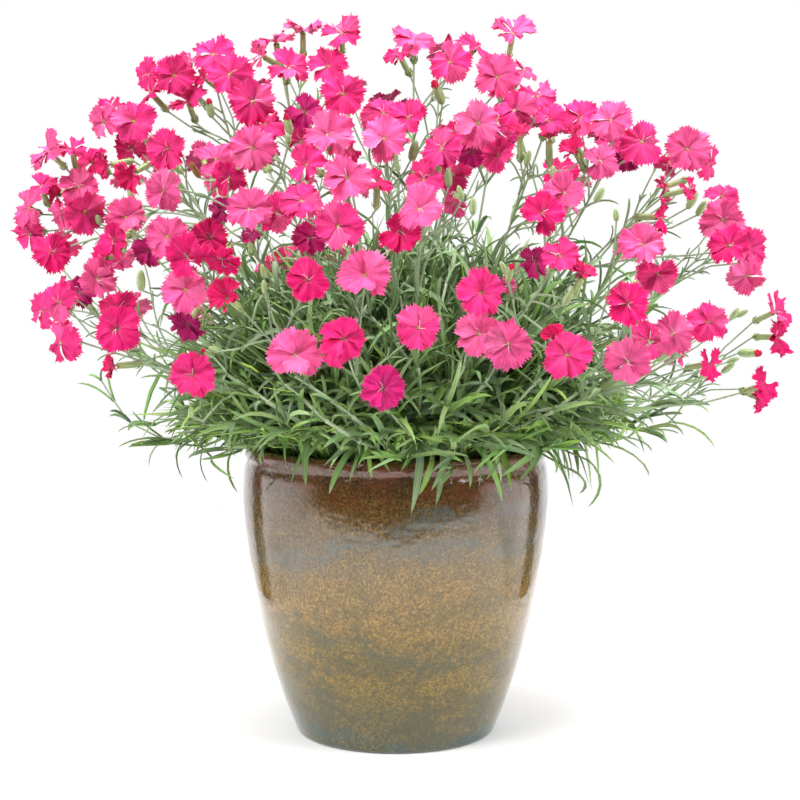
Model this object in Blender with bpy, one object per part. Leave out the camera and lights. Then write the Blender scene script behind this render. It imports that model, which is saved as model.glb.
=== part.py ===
"""A pinks plant (dianthus) in a glazed stoneware pot.

Metres, +Z up, origin at the middle of the pot's underside. The pot is thrown
stoneware with a drainage hole, filled with potting soil. The plant is a clump
of leafy tufts and branching flowering stems with single, toothed flowers.
"""
import math

import bpy
import bmesh
import numpy as np
from mathutils.bvhtree import BVHTree

for _o in list(bpy.data.objects):
    bpy.data.objects.remove(_o, do_unlink=True)

# ---------------------------------------------------------------------------
# Driving dimensions, metres
# ---------------------------------------------------------------------------
POT_HEIGHT = 0.2027          # underside to the top of the rolled lip
POT_WALL = 0.0065            # thrown stoneware wall
POT_FLOOR = 0.0100
DRAIN_RADIUS = 0.0100        # drainage hole in the middle of the floor
FIT_GAP = 0.0003             # clearance between touching pieces
SOIL_TOP = 0.1780            # potting soil, 25 mm below the lip
SOIL_EDGE_DROP = 0.0035
CROWN = (0.0, 0.0, 0.190)    # where the shoots fan out from
CROWN_RADIUS = 0.062         # the shoots come up inside this circle
CANOPY_CENTRE = (0.0, 0.0, 0.276)
CANOPY_RADII = (0.256, 0.205, 0.212)
CALYX_LENGTH = 0.0150
STEM_COUNT = 45

# outside of the pot: radius, height
POT_OUTSIDE = [
    (0.0660, 0.0000), (0.0698, 0.0010), (0.0714, 0.0042), (0.0772, 0.0192),
    (0.0822, 0.0340), (0.0870, 0.0485), (0.0914, 0.0640), (0.0950, 0.0785),
    (0.0981, 0.0930), (0.1007, 0.1075), (0.1029, 0.1220), (0.1047, 0.1370),
    (0.1060, 0.1500), (0.1068, 0.1640), (0.1067, 0.1770), (0.1058, 0.1860),
    (0.1043, 0.1915), (0.1046, 0.1940), (0.1054, 0.1965), (0.1052, 0.1997),
    (0.1038, 0.2019), (0.1014, 0.2027), (0.0990, 0.2016), (0.0975, 0.1990),
    (0.0972, 0.1940)]

# The survey point in front of the plant that the bearings below are read
# from: its distance from the pot's axis, height, dip of the level axis and
# the number of bearing units in one unit of slope.
SURVEY_POINT = (0.0031, -1.2000, 0.3458)
SURVEY_DIP = 5.373
SURVEY_SCALE = 1720.0
SURVEY_CENTRE = 400.0

# Open flowers that face the survey point: across, down, breadth (bearing
# units), tilt away from the survey point (degrees), heading of that tilt
# (degrees, 0 right, 90 up), colour class and how deep it sits in the canopy.
FLOWERS = [
    (342, 33, 43, 50, 90, "M", 0), (303, 31, 42, 84, 90, "L", 0),
    (276, 42, 40, 80, 100, "L", 0), (262, 56, 36, 78, 150, "L", 1),
    (289, 68, 42, 35, 80, "M", 0), (328, 66, 42, 35, 110, "M", 1),
    (343, 94, 47, 18, 90, "M", 0), (305, 112, 40, 35, 70, "V", 1),
    (213, 54, 45, 46, 88, "M", 0), (230, 74, 50, 25, 80, "M", 0),
    (253, 101, 48, 22, 60, "M", 0), (174, 75, 44, 25, 110, "M", 0),
    (149, 74, 36, 52, 175, "M", 1), (190, 61, 36, 60, 85, "M", 1),
    (203, 76, 28, 60, 140, "D", 2), (188, 102, 42, 60, 110, "M", 1),
    (151, 93, 32, 78, 132, "D", 1), (134, 121, 46, 20, 100, "M", 0),
    (111, 106, 30, 60, 120, "D", 1), (104, 122, 36, 50, 180, "L", 1),
    (132, 148, 38, 45, 265, "D", 1), (168, 149, 46, 25, 180, "M", 0),
    (216, 159, 44, 35, 100, "L", 0), (252, 148, 47, 10, 60, "L", 0),
    (134, 173, 34, 45, 210, "C", 0), (109, 165, 26, 65, 190, "C", 0),
    (164, 191, 44, 28, 190, "L", 0), (126, 217, 44, 20, 90, "L", 1),
    (115, 239, 38, 42, 200, "D", 0), (167, 237, 48, 15, 90, "L", 0),
    (210, 238, 46, 20, 60, "D", 1), (187, 256, 46, 35, 270, "D", 0),
    (223, 259, 38, 35, 240, "D", 0), (229, 178, 40, 35, 225, "D", 0),
    (250, 209, 50, 8, 90, "L", 0), (222, 210, 30, 30, 90, "V", 2),
    (150, 250, 34, 40, 200, "V", 1), (137, 256, 34, 55, 160, "L", 1),
    (105, 259, 36, 50, 200, "D", 1), (97, 278, 40, 25, 250, "L", 0),
    (119, 261, 28, 60, 250, "M", 2), (49, 152, 44, 66, 135, "L", 0),
    (72, 150, 34, 68, 100, "M", 1), (92, 163, 38, 56, 150, "D", 1),
    (41, 187, 36, 55, 110, "M", 1), (29, 208, 40, 30, 150, "L", 0),
    (30, 234, 38, 40, 190, "M", 1), (52, 252, 42, 10, 200, "D", 0),
    (57, 195, 28, 55, 200, "D", 2), (79, 187, 42, 30, 100, "L", 1),
    (85, 212, 48, 20, 330, "M", 0), (64, 213, 34, 60, 190, "L", 1),
    (60, 302, 44, 36, 190, "M", 0), (79, 293, 38, 45, 60, "V", 1),
    (42, 311, 40, 56, 185, "M", 1), (60, 343, 46, 52, 182, "M", 0),
    (117, 329, 50, 8, 120, "D", 0), (119, 308, 40, 30, 80, "D", 1),
    (115, 366, 26, 68, 185, "C", 0), (185, 290, 49, 6, 100, "L", 0),
    (188, 323, 40, 42, 240, "V", 1), (228, 298, 37, 38, 140, "C", 0),
    (192, 375, 50, 6, 200, "M", 0), (295, 355, 54, 10, 0, "L", 0),
    (264, 124, 44, 52, 85, "M", 1), (328, 135, 52, 32, 100, "L", 0),
    (302, 141, 34, 40, 150, "M", 2), (349, 149, 36, 66, 60, "D", 0),
    (306, 165, 42, 45, 150, "M", 0), (347, 178, 50, 32, 110, "L", 0),
    (377, 182, 36, 72, 88, "D", 1), (384, 138, 48, 34, 100, "L", 0),
    (383, 113, 44, 35, 90, "M", 1), (277, 213, 46, 22, 0, "M", 1),
    (301, 201, 46, 32, 90, "M", 0), (338, 226, 52, 10, 90, "M", 0),
    (310, 238, 38, 25, 90, "V", 2), (251, 237, 22, 40, 90, "V", 2),
    (401, 232, 46, 28, 95, "D", 1), (308, 280, 47, 10, 90, "D", 0),
    (365, 275, 53, 8, 90, "L", 0), (344, 339, 47, 25, 100, "D", 0),
    (334, 353, 32, 30, 200, "M", 1), (419, 328, 51, 5, 90, "M", 0),
    (383, 389, 48, 10, 90, "V", 0), (413, 40, 47, 60, 92, "L", 0),
    (400, 56, 34, 64, 118, "D", 1), (450, 62, 46, 30, 85, "M", 0),
    (476, 48, 42, 74, 45, "M", 0), (513, 33, 46, 70, 80, "L", 0),
    (502, 59, 22, 68, 90, "M", 2), (497, 77, 48, 28, 95, "L", 0),
    (524, 70, 32, 74, 60, "L", 1), (538, 96, 40, 60, 85, "M", 1),
    (515, 110, 44, 32, 85, "M", 0), (478, 123, 50, 15, 60, "L", 0),
    (408, 118, 42, 30, 80, "M", 0), (549, 121, 38, 46, 70, "M", 0),
    (520, 135, 24, 70, 92, "C", 0), (549, 139, 20, 76, 92, "C", 0),
    (505, 137, 30, 35, 90, "V", 2), (442, 149, 44, 25, 90, "M", 0),
    (455, 132, 24, 40, 90, "D", 2), (471, 152, 34, 30, 300, "V", 2),
    (498, 155, 42, 25, 160, "M", 1), (424, 180, 44, 48, 100, "M", 1),
    (453, 175, 40, 35, 280, "M", 1), (420, 209, 50, 22, 95, "L", 0),
    (455, 204, 30, 48, 260, "L", 1), (542, 213, 46, 18, 100, "D", 0),
    (564, 193, 46, 44, 92, "L", 1), (560, 171, 42, 52, 92, "D", 2),
    (581, 117, 42, 42, 95, "M", 1), (611, 120, 44, 30, 110, "L", 0),
    (574, 135, 20, 64, 110, "C", 0), (575, 152, 30, 56, 120, "C", 0),
    (599, 161, 40, 36, 60, "L", 0), (611, 144, 36, 40, 90, "V", 1),
    (642, 142, 47, 15, 70, "M", 0), (628, 158, 32, 35, 270, "V", 1),
    (687, 149, 48, 12, 60, "L", 0), (666, 165, 26, 55, 250, "M", 1),
    (709, 164, 38, 62, 5, "M", 1), (665, 187, 28, 66, 200, "M", 1),
    (689, 189, 26, 72, 15, "D", 0), (659, 217, 40, 70, 0, "D", 1),
    (643, 245, 50, 28, 100, "L", 0), (657, 273, 46, 15, 300, "M", 0),
    (628, 304, 49, 15, 90, "D", 0), (649, 341, 46, 25, 0, "M", 1),
    (672, 334, 46, 28, 20, "L", 0), (628, 361, 50, 22, 250, "L", 0),
    (708, 322, 44, 18, 60, "M", 0), (709, 364, 38, 58, 10, "D", 0),
    (763, 385, 38, 66, 20, "D", 0), (761, 399, 32, 68, 335, "D", 1),
    (775, 312, 42, 66, 25, "M", 0), (776, 337, 42, 62, 0, "D", 0),
    (723, 220, 48, 22, 95, "L", 1), (722, 196, 38, 42, 90, "M", 2),
    (729, 246, 46, 15, 150, "D", 0), (748, 247, 44, 35, 10, "M", 1),
    (746, 276, 42, 35, 300, "L", 1), (481, 293, 50, 8, 90, "M", 0),
    (507, 285, 20, 40, 0, "L", 2), (479, 334, 48, 15, 30, "L", 1),
    (508, 344, 53, 10, 0, "L", 0), (567, 355, 51, 8, 90, "M", 0),
    (553, 337, 22, 50, 120, "C", 1), (535, 261, 36, 38, 200, "V", 1),
    (560, 256, 42, 32, 60, "M", 0), (582, 275, 24, 52, 70, "C", 0)]

# Unopened buds: across, down, length (bearing units), heading, tip
# ("g" green, "r" showing red petals, "b" a spent brown one).
BUDS = [
    (288, 124, 22, 100, "r"), (288, 138, 12, 100, "g"), (438, 92, 26, 112, "r"),
    (460, 192, 18, 105, "g"), (448, 176, 22, 95, "g"), (437, 165, 22, 98, "g"),
    (473, 205, 20, 90, "g"), (414, 149, 24, 75, "g"), (528, 157, 18, 75, "g"),
    (553, 171, 14, 90, "g"), (600, 194, 20, 60, "g"), (616, 214, 14, 95, "g"),
    (693, 199, 22, 60, "g"), (702, 207, 20, 60, "g"), (735, 313, 16, 55, "g"),
    (743, 313, 14, 30, "g"), (750, 353, 24, 0, "r"), (734, 360, 14, 20, "g"),
    (729, 367, 18, 40, "g"), (213, 349, 13, 160, "g"), (191, 411, 12, 90, "g"),
    (98, 219, 12, 110, "g"), (503, 267, 16, 115, "g"), (510, 273, 20, 75, "r"),
    (569, 296, 22, 60, "g"), (263, 270, 16, 100, "g"), (264, 286, 16, 95, "g"),
    (141, 279, 24, 90, "g"), (207, 353, 14, 150, "r"), (195, 170, 18, 120, "b"),
    (210, 108, 20, 100, "r")]

BACK_FLOWERS = 70            # flowers on the far side of the plant


def vec(*a):
    return np.array(a, dtype=float)


def unit(v):
    v = np.asarray(v, dtype=float)
    n = float(np.linalg.norm(v))
    return v / n if n > 1e-12 else vec(0, 0, 1)


def survey_axes():
    dip = math.radians(SURVEY_DIP)
    fwd = vec(0, math.cos(dip), -math.sin(dip))
    up = vec(0, math.sin(dip), math.cos(dip))
    return vec(1, 0, 0), fwd, up


def bearing_ray(across, down):
    """Ray from the survey point; its length along the axis is 1."""
    right, fwd, up = survey_axes()
    return (fwd + right * (across - SURVEY_CENTRE) / SURVEY_SCALE
            - up * (down - SURVEY_CENTRE) / SURVEY_SCALE)


def bearing_of(point):
    right, fwd, up = survey_axes()
    rel = np.asarray(point, dtype=float) - np.array(SURVEY_POINT)
    depth = float(rel @ fwd)
    return (SURVEY_CENTRE + SURVEY_SCALE * float(rel @ right) / depth,
            SURVEY_CENTRE - SURVEY_SCALE * float(rel @ up) / depth, depth)


def canopy_hit(across, down, inset):
    """Where a bearing meets the near side of the canopy, inset inwards."""
    origin = np.array(SURVEY_POINT)
    ray = bearing_ray(across, down)
    radii = np.array(CANOPY_RADII) - inset
    o = (origin - np.array(CANOPY_CENTRE)) / radii
    d = ray / radii
    a, b, c = float(d @ d), float(o @ d), float(o @ o) - 1.0
    disc = b * b - a * c
    t = (-b - math.sqrt(disc)) / a if disc > 0 else -b / a
    return origin + ray * t, t


def facing(ray, tilt, heading):
    """World direction of a flower's face from its tilt and heading."""
    w = -unit(ray)
    right, fwd, up = survey_axes()
    u = unit(right - w * float(right @ w))
    v = np.cross(w, u)
    a, h = math.radians(tilt), math.radians(heading)
    return unit(w * math.cos(a) + (u * math.cos(h) + v * math.sin(h)) * math.sin(a))


def surveyed_heads():
    """All heads of the near side: place, face direction, radius, class."""
    heads = []
    for across, down, breadth, tilt, heading, kind, layer in FLOWERS:
        inset = (0.0, 0.020, 0.045)[layer]
        p, t = canopy_hit(across, down, inset)
        r = min(max(0.5 * breadth * t / SURVEY_SCALE, 0.0060), 0.0172)
        heads.append({"p": p, "t": t, "ray": bearing_ray(across, down),
                      "n": facing(bearing_ray(across, down), tilt, heading),
                      "r": r, "kind": kind, "layer": layer, "back": False,
                      "bud": None, "tilt": tilt})
    for across, down, length, heading, tip in BUDS:
        p, t = canopy_hit(across, down, 0.008)
        size = 0.5 * length * t / SURVEY_SCALE
        heads.append({"p": p, "t": t, "ray": bearing_ray(across, down),
                      "n": facing(bearing_ray(across, down), 68, heading),
                      "r": min(max(size * 0.36, 0.0018), 0.0030), "kind": "B",
                      "layer": 0, "back": False, "bud": (tip, 2 * size),
                      "tilt": 68})
    return heads


def far_heads(near):
    """Flowers of the far side, kept where the near ones screen them."""
    rng = np.random.default_rng(4107)
    cover = []
    for h in near:
        if h["bud"] is None and h["tilt"] < 50 and h["r"] > 0.010:
            x, y, _ = bearing_of(h["p"])
            cover.append((x, y, h["r"] * SURVEY_SCALE / h["t"]))
    out = []
    tries = 0
    while len(out) < BACK_FLOWERS and tries < 40000:
        tries += 1
        az = rng.uniform(0.02, math.pi - 0.02)
        z = rng.uniform(-0.14, 0.97)
        rr = math.sqrt(max(0.0, 1 - z * z))
        q = vec(rr * math.cos(az), rr * math.sin(az), z)
        inset = rng.choice([0.0, 0.0, 0.012, 0.025])
        p = np.array(CANOPY_CENTRE) + q * (np.array(CANOPY_RADII) - inset)
        if p[1] < 0.015:
            continue
        x, y, t = bearing_of(p)
        leafy = y > 262 and 262 < x < 545
        hidden = any((x - a) ** 2 + (y - b) ** 2 < (0.62 * c) ** 2 for a, b, c in cover)
        if not (leafy or hidden):
            continue
        if any(np.linalg.norm(p - o["p"]) < 0.0285 for o in out):
            continue
        n = unit(q / np.array(CANOPY_RADII) + vec(0, 0, 1.4)
                 + rng.normal(0, 1, 3) * 1.3)
        if n @ unit(q) < 0.35:
            n = unit(n + unit(q))
        kind = rng.choice(["L", "M", "M", "M", "D", "V", "C"])
        r = rng.uniform(0.0135, 0.0165) if kind != "C" else rng.uniform(0.008, 0.012)
        out.append({"p": p, "t": t, "ray": q, "n": n, "r": float(r),
                    "kind": str(kind), "layer": 0, "back": True, "bud": None,
                    "tilt": 20})
    return out


def group_heads(heads):
    """Gather neighbouring heads into flowering stems."""
    base = np.array([h["p"] - h["n"] * 0.020 for h in heads])
    crown = np.array(CROWN)
    spread = base - crown
    seeds = []
    # farthest point seeding, always the same
    first = int(np.argmax(spread[:, 0]))
    seeds.append(first)
    dist = np.linalg.norm(base - base[first], axis=1)
    while len(seeds) < STEM_COUNT:
        nxt = int(np.argmax(dist))
        seeds.append(nxt)
        dist = np.minimum(dist, np.linalg.norm(base - base[nxt], axis=1))
    centres = base[seeds].copy()
    for _ in range(25):
        d = np.linalg.norm(base[:, None, :] - centres[None, :, :], axis=2)
        # keep groups even: a full group looks farther away
        owner = np.argmin(d, axis=1)
        for k in range(len(centres)):
            if np.any(owner == k):
                centres[k] = base[owner == k].mean(axis=0)
    groups = [np.where(owner == k)[0].tolist() for k in range(len(centres))]
    groups = [g for g in groups if g]
    groups.sort(key=lambda g: math.atan2(base[g, 1].mean(), base[g, 0].mean()))
    return groups


def bezier(a, b, c, d, t):
    s = 1 - t
    return a * s ** 3 + b * 3 * s * s * t + c * 3 * s * t * t + d * t ** 3


# ---------------------------------------------------------------------------
# Growing the plant: every solid keeps clear of every other one
# ---------------------------------------------------------------------------
class Shell:
    """A closed skin under construction."""

    def __init__(self):
        self.v = []
        self.f = []

    def ring(self, pts):
        i = len(self.v)
        self.v.extend([np.asarray(p, dtype=float) for p in pts])
        return list(range(i, i + len(pts)))

    def bridge(self, a, b):
        n = len(a)
        for i in range(n):
            self.f.append((a[i], a[(i + 1) % n], b[(i + 1) % n], b[i]))

    def zip_rings(self, a, b):
        """Join two rings of different counts, both walked the same way."""
        n, m = len(a), len(b)
        i = j = 0
        while i < n or j < m:
            if j >= m or (i < n and (i + 0.5) / n <= (j + 0.5) / m):
                self.f.append((a[i % n], a[(i + 1) % n], b[j % m]))
                i += 1
            else:
                self.f.append((a[i % n], b[(j + 1) % m], b[j % m]))
                j += 1

    def fan(self, ring, tip, flip=False):
        k = self.ring([tip])[0]
        n = len(ring)
        for i in range(n):
            self.f.append((ring[i], ring[(i + 1) % n], k))

    def cap(self, ring):
        self.f.append(tuple(reversed(ring)))


def square(c, s, q, w):
    return [c - s * w - q * w, c + s * w - q * w, c + s * w + q * w, c - s * w + q * w]


def carry(s, p):
    """Carry the side vector s on to the new path direction p."""
    s = s - p * float(s @ p)
    return unit(s)


def head_rings(shell, last, head, s, q, fat=0.0):
    """Calyx and flower (or bud) on the end of a shoot, from its last ring."""
    p, n, r = head["p"], head["n"], head["r"]
    s = carry(s, n)
    q = np.cross(s, n) * (1 if float(np.cross(s, n) @ q) > 0 else -1)
    if head["kind"] == "B":
        length = head["bud"][1]
        mid = shell.ring(square(p - n * 0.12 * length, s, q, r + fat))
        shell.bridge(last, mid)
        shell.fan(mid, p + n * (0.5 * length + fat))
        return
    top = shell.ring(square(p - n * (0.0024 + fat), s, q, 0.0021 + fat))
    shell.bridge(last, top)
    lift = 0.55 * r if head["kind"] == "C" else 0.0012
    count = 10
    rim = []
    for i in range(count):
        a = 2 * math.pi * i / count - 0.75 * math.pi
        rr = (r if i % 2 == 0 else 0.84 * r) + fat
        rim.append(p + (s * math.cos(a) + q * math.sin(a)) * rr + n * (lift - 0.2 * fat))
    rim = shell.ring(rim)
    shell.zip_rings(top, rim)
    shell.f.append(tuple(rim))


def sweep(shell, first, pts, s, q, widths):
    """Carry a four sided tube through pts (first ring already made)."""
    last = first
    for i in range(len(pts)):
        c = pts[i]
        if i == 0:
            p = unit(pts[1] - pts[0]) if len(pts) > 1 else np.cross(q, s)
        elif i == len(pts) - 1:
            p = unit(pts[i] - pts[i - 1])
        else:
            p = unit(pts[i + 1] - pts[i - 1])
        s = carry(s, p)
        c2 = np.cross(s, p)
        q = c2 if float(c2 @ q) > 0 else -c2
        ring = shell.ring(square(c, s, q, widths[i]))
        if last is not None:
            shell.bridge(last, ring)
        last = ring
    return last, s, q


def foot_of(head):
    """The lower end of a calyx or bud."""
    if head["kind"] == "B":
        return head["p"] - head["n"] * 0.5 * head["bud"][1]
    return head["p"] - head["n"] * (CALYX_LENGTH + 0.0024)


def tree_of(shell):
    return BVHTree.FromPolygons([tuple(v) for v in shell.v], shell.f, epsilon=0.0)


def box_of(shell):
    a = np.array(shell.v)
    return a.min(axis=0), a.max(axis=0)


class Space:
    """Everything grown so far, for clearance tests."""

    def __init__(self):
        self.items = []
        # the pot's upper wall and lip, a little oversize
        lip = Shell()
        rows = []
        for r, z in ((0.1095, 0.120), (0.1095, 0.1950), (0.1080, 0.2030), (0.1050, 0.2048),
                     (0.0990, 0.2048), (0.0945, 0.2010), (0.0945, 0.120)):
            rows.append(lip.ring([vec(r * math.cos(math.pi * i / 24),
                                      r * math.sin(math.pi * i / 24), z)
                                  for i in range(48)]))
        for a, b in zip(rows, rows[1:] + rows[:1]):
            lip.bridge(a, b)
        self.add(lip, -1)

    def add(self, shell, owner):
        lo, hi = box_of(shell)
        self.items.append((lo, hi, tree_of(shell), owner))

    def free(self, shell):
        a = np.array(shell.v)
        rad = np.hypot(a[:, 0], a[:, 1])
        if np.any((rad > 0.0945) & (rad < 0.1085) & (a[:, 2] < 0.2055)):
            return False
        if np.any((rad >= 0.1085) & (rad < 0.125) & (a[:, 2] < 0.2040)):
            return False
        if np.any((rad <= 0.0945) & (a[:, 2] < SOIL_TOP - 0.0036)):
            return False
        lo, hi = a.min(axis=0), a.max(axis=0)
        tree = None
        for l2, h2, t2, _ in self.items:
            if np.any(lo > h2) or np.any(hi < l2):
                continue
            if tree is None:
                tree = tree_of(shell)
            if tree.overlap(t2):
                return False
        return True


def stem_curve(base, head):
    e = foot_of(head)
    n = head["n"]
    span = float(np.linalg.norm(e - base))
    out = vec(e[0] - base[0], e[1] - base[1], 0)
    out = unit(out) if np.linalg.norm(out) > 1e-6 else vec(0, 0, 0)
    low = max(0.0, 1.0 - (e[2] - base[2]) / 0.12)
    c1 = base + (vec(0, 0, 1) * (0.30 + 0.16 * low) + out * 0.10) * span
    radial = unit(e - np.array(CROWN))
    end = unit(n * 0.62 + radial * 0.62 + vec(0, 0, 0.18))
    c2 = e - end * 0.30 * span
    return base, c1, c2, e


def branch_curve(a, t, head, bow):
    e = foot_of(head)
    n = head["n"]
    span = float(np.linalg.norm(e - a))
    start = unit(t * 0.75 + unit(e - a) * 0.8 + bow)
    c1 = a + start * 0.36 * span
    c2 = e - unit(n * 0.85 + unit(e - a) * 0.35) * 0.34 * span
    return a, c1, c2, e


def crown_bases(groups, heads):
    """Where each flowering stem leaves the soil."""
    pts = []
    for k, g in enumerate(groups):
        m = np.mean([heads[i]["p"] for i in g], axis=0) - np.array(CROWN)
        polar = math.acos(max(-1, min(1, m[2] / np.linalg.norm(m))))
        az = math.atan2(m[1], m[0])
        rr = CROWN_RADIUS * min(1.0, polar / math.radians(78)) ** 0.8
        pts.append([rr * math.cos(az), rr * math.sin(az)])
    pts = np.array(pts)
    for _ in range(200):
        moved = np.zeros_like(pts)
        for i in range(len(pts)):
            d = pts[i] - pts
            dist = np.hypot(d[:, 0], d[:, 1])
            dist[i] = 1
            near = dist < 0.0125
            if near.any():
                moved[i] = (d[near] / np.maximum(dist[near], 1e-5)[:, None]
                            * (0.0125 - dist[near])[:, None]).sum(axis=0) * 0.4
        pts = pts + moved
        rad = np.hypot(pts[:, 0], pts[:, 1])
        over = rad > CROWN_RADIUS
        pts[over] *= (CROWN_RADIUS / rad[over])[:, None]
    return pts


def shifted(head, d):
    h = dict(head)
    h["p"] = head["p"] + unit(head["ray"]) * d
    return h


SHIFTS = (0.0, 0.006, -0.006, 0.012, -0.012, 0.018, -0.018, 0.024, 0.032, 0.042)


def soil_height(x, y):
    k = math.hypot(x, y) / 0.0972
    return SOIL_TOP - SOIL_EDGE_DROP * k * k


def grow_plant():
    heads = surveyed_heads()
    heads = heads + far_heads(heads)
    groups = group_heads(heads)
    bases = crown_bases(groups, heads)
    space = Space()
    stems = []
    order = sorted(range(len(groups)), key=lambda k: -len(groups[k]))
    # main shoots with their end flowers
    for k in order:
        g = groups[k]
        crown = np.array(CROWN)
        mean = unit(np.mean([heads[i]["p"] for i in g], axis=0) - crown)
        rank = sorted(g, key=lambda i: (heads[i]["kind"] == "B", heads[i]["layer"],
                                        -float(unit(heads[i]["n"]) @ mean),
                                        -float((heads[i]["p"] - crown) @ mean)))
        found = None
        for wiggle in ((0, 0), (0.006, 0), (-0.006, 0), (0, 0.006), (0, -0.006),
                       (0.010, 0.006), (-0.010, 0.006), (0.008, -0.010), (-0.008, -0.010)):
            bx, by = bases[k] + np.array(wiggle)
            base = vec(bx, by, soil_height(bx, by) + FIT_GAP)
            for i in rank[:5]:
                for d in SHIFTS:
                    head = shifted(heads[i], d)
                    ctrl = stem_curve(base, head)
                    if min(bezier(*ctrl, t)[2] for t in (0.1, 0.3, 0.5, 0.7)) < base[2]:
                        continue
                    n_low, m = 4, max(1, len(g) - 1)
                    ts = np.linspace(0, 1, 41)
                    line = np.array([bezier(*ctrl, t) for t in ts])
                    seg = np.linalg.norm(np.diff(line, axis=0), axis=1)
                    arc = np.concatenate([[0], np.cumsum(seg)])
                    total = arc[-1]
                    step = min(0.0075, 0.40 * total / (m + 1))
                    hub = max(0.44 * total, total - 0.078)
                    marks = [0.0] + [hub * j / n_low for j in range(1, n_low)]
                    marks += [hub + step * j for j in range(m + 2)]
                    top = marks[-1]
                    marks += [top + (total - top) * 0.5, total]
                    marks[0] = 0.0
                    path = [bezier(*ctrl, float(np.interp(s, arc, ts))) for s in marks]
                    widths = [0.0011 - 0.0004 * (s / total) for s in marks]
                    shell = Shell()
                    last, s, q = sweep(shell, None, path, vec(1, 0, 0), vec(0, 1, 0),
                                       [w + 0.0006 for w in widths])
                    head_rings(shell, last, head, s, q, fat=0.0006)
                    body = Shell()
                    body.v = [v for v in shell.v]
                    body.f = list(shell.f)
                    # the foot stands on the soil: lift the test shape clear
                    for j in range(4):
                        body.v[j] = body.v[j] + vec(0, 0, 0.001)
                    mid = bezier(*ctrl, 0.8)
                    if float((mid - head["p"]) @ head["n"]) > -0.004:
                        continue
                    if space.free(body):
                        found = (i, head, ctrl, path, widths, n_low, m)
                        break
                if found:
                    break
            if found:
                break
        if not found:
            stems.append(None)
            continue
        i, head, ctrl, path, widths, n_low, m = found
        shell = Shell()
        rings = []
        s, q = vec(1, 0, 0), vec(0, 1, 0)
        frames = []
        last = None
        for j in range(len(path)):
            if j == 0:
                p = unit(path[1] - path[0])
            elif j == len(path) - 1:
                p = unit(path[j] - path[j - 1])
            else:
                p = unit(path[j + 1] - path[j - 1])
            if j == 0:
                p = vec(0, 0, 1)
            s = carry(s, p)
            c2 = np.cross(s, p)
            q = c2 if float(c2 @ q) > 0 else -c2
            ring = shell.ring(square(path[j], s, q, widths[j]))
            frames.append((s, q, p))
            rings.append(ring)
        test = Shell()
        last, s2, q2 = sweep(test, None, path, vec(1, 0, 0), vec(0, 1, 0), widths)
        head_rings(test, last, head, s2, q2)
        space.add(test, k)
        stems.append({"k": k, "head": head, "ctrl": ctrl, "path": path, "widths": widths,
                      "rings": rings, "frames": frames, "shell": shell, "n_low": n_low,
                      "m": m, "used": {}, "branches": [], "group": g, "end": i})
    stems = [s for s in stems if s]
    # side shoots, front flowers first
    jobs = []
    for st in stems:
        for i in st["group"]:
            if i != st["end"]:
                jobs.append((heads[i]["layer"], -heads[i]["r"], i, st))
    jobs.sort(key=lambda j: (j[0], j[1], j[2]))
    lost = []
    for _, _, i, st in jobs:
        done = False
        crown = np.array(CROWN)
        slots = [st["n_low"] + j for j in range(st["m"] + 1)]
        head0 = heads[i]
        axis = st["frames"][st["n_low"]][2]
        # the wider a head stands from the shoot, the lower its side shoot
        sizes = [head0["r"], 0.8 * head0["r"], 0.62 * head0["r"]]
        for size in sizes:
            for d in SHIFTS:
                head = shifted(head0, d)
                head["r"] = size
                e = foot_of(head)
                options = []
                for j in slots:
                    mid = 0.5 * (st["path"][j] + st["path"][j + 1])
                    t = unit(st["path"][j + 1] - st["path"][j])
                    gap = e - mid
                    along = float(gap @ t)
                    side = gap - t * along
                    ang = math.degrees(math.atan2(float(np.linalg.norm(side)), along))
                    for face in range(4):
                        if (j, face) in st["used"]:
                            continue
                        ra, rb = st["rings"][j], st["rings"][j + 1]
                        v = st["shell"].v
                        quad = [ra[face], ra[(face + 1) % 4], rb[(face + 1) % 4], rb[face]]
                        c = sum(v[x] for x in quad) / 4
                        nf = unit(c - mid)
                        align = float(nf @ unit(side)) if np.linalg.norm(side) > 1e-5 else 1
                        if align < 0.45:
                            continue
                        crowd = sum(1 for (a, b) in st["used"] if a == j)
                        cost = abs(ang - 42) + 25 * (1 - align) + 14 * crowd
                        options.append((cost, j, face, quad, c, nf, t))
                options.sort(key=lambda o: (round(o[0], 6), o[1], o[2]))
                for cost, j, face, quad, c, nf, t in options[:5]:
                    v = st["shell"].v
                    h = unit(v[quad[1]] - v[quad[0]])
                    a = c + nf * 0.0026 + t * 0.0012
                    side = unit(np.cross(t, nf))
                    for bow in (vec(0, 0, 0), nf * 0.5, side * 0.5, side * -0.5):
                        ctrl = branch_curve(a, t, head, bow)
                        p0 = unit(ctrl[1] - ctrl[0])
                        if float(p0 @ nf) < 0.10 or float(p0 @ t) < -0.3:
                            continue
                        mid = bezier(*ctrl, 0.55)
                        if float((mid - head["p"]) @ head["n"]) > -0.0045:
                            continue
                        s = carry(h, p0)
                        sign = 1.0 if float(np.cross(h, nf) @ t) > 0 else -1.0
                        q = np.cross(s, p0) * sign
                        pts = [a, bezier(*ctrl, 0.5), ctrl[3]]
                        trial = Shell()
                        a2 = bezier(*ctrl, 0.10)
                        s1 = s
                        last, s2, q2 = sweep(trial, None, [a2, pts[1], pts[2]], s1, q,
                                             [0.0012, 0.0012, 0.0013])
                        head_rings(trial, last, head, s2, q2, fat=0.0006)
                        if not space.free(trial):
                            continue
                        real = Shell()
                        last, s2, q2 = sweep(real, None, pts, s, q, [0.0007, 0.0007, 0.0009])
                        head_rings(real, last, head, s2, q2)
                        space.add(real, st["k"])
                        st["used"][(j, face)] = len(st["branches"])
                        st["branches"].append({"head": head, "ctrl": ctrl, "pts": pts,
                                               "s": s, "q": q, "quad": quad, "slot": (j, face),
                                               "i": i})
                        done = True
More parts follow.
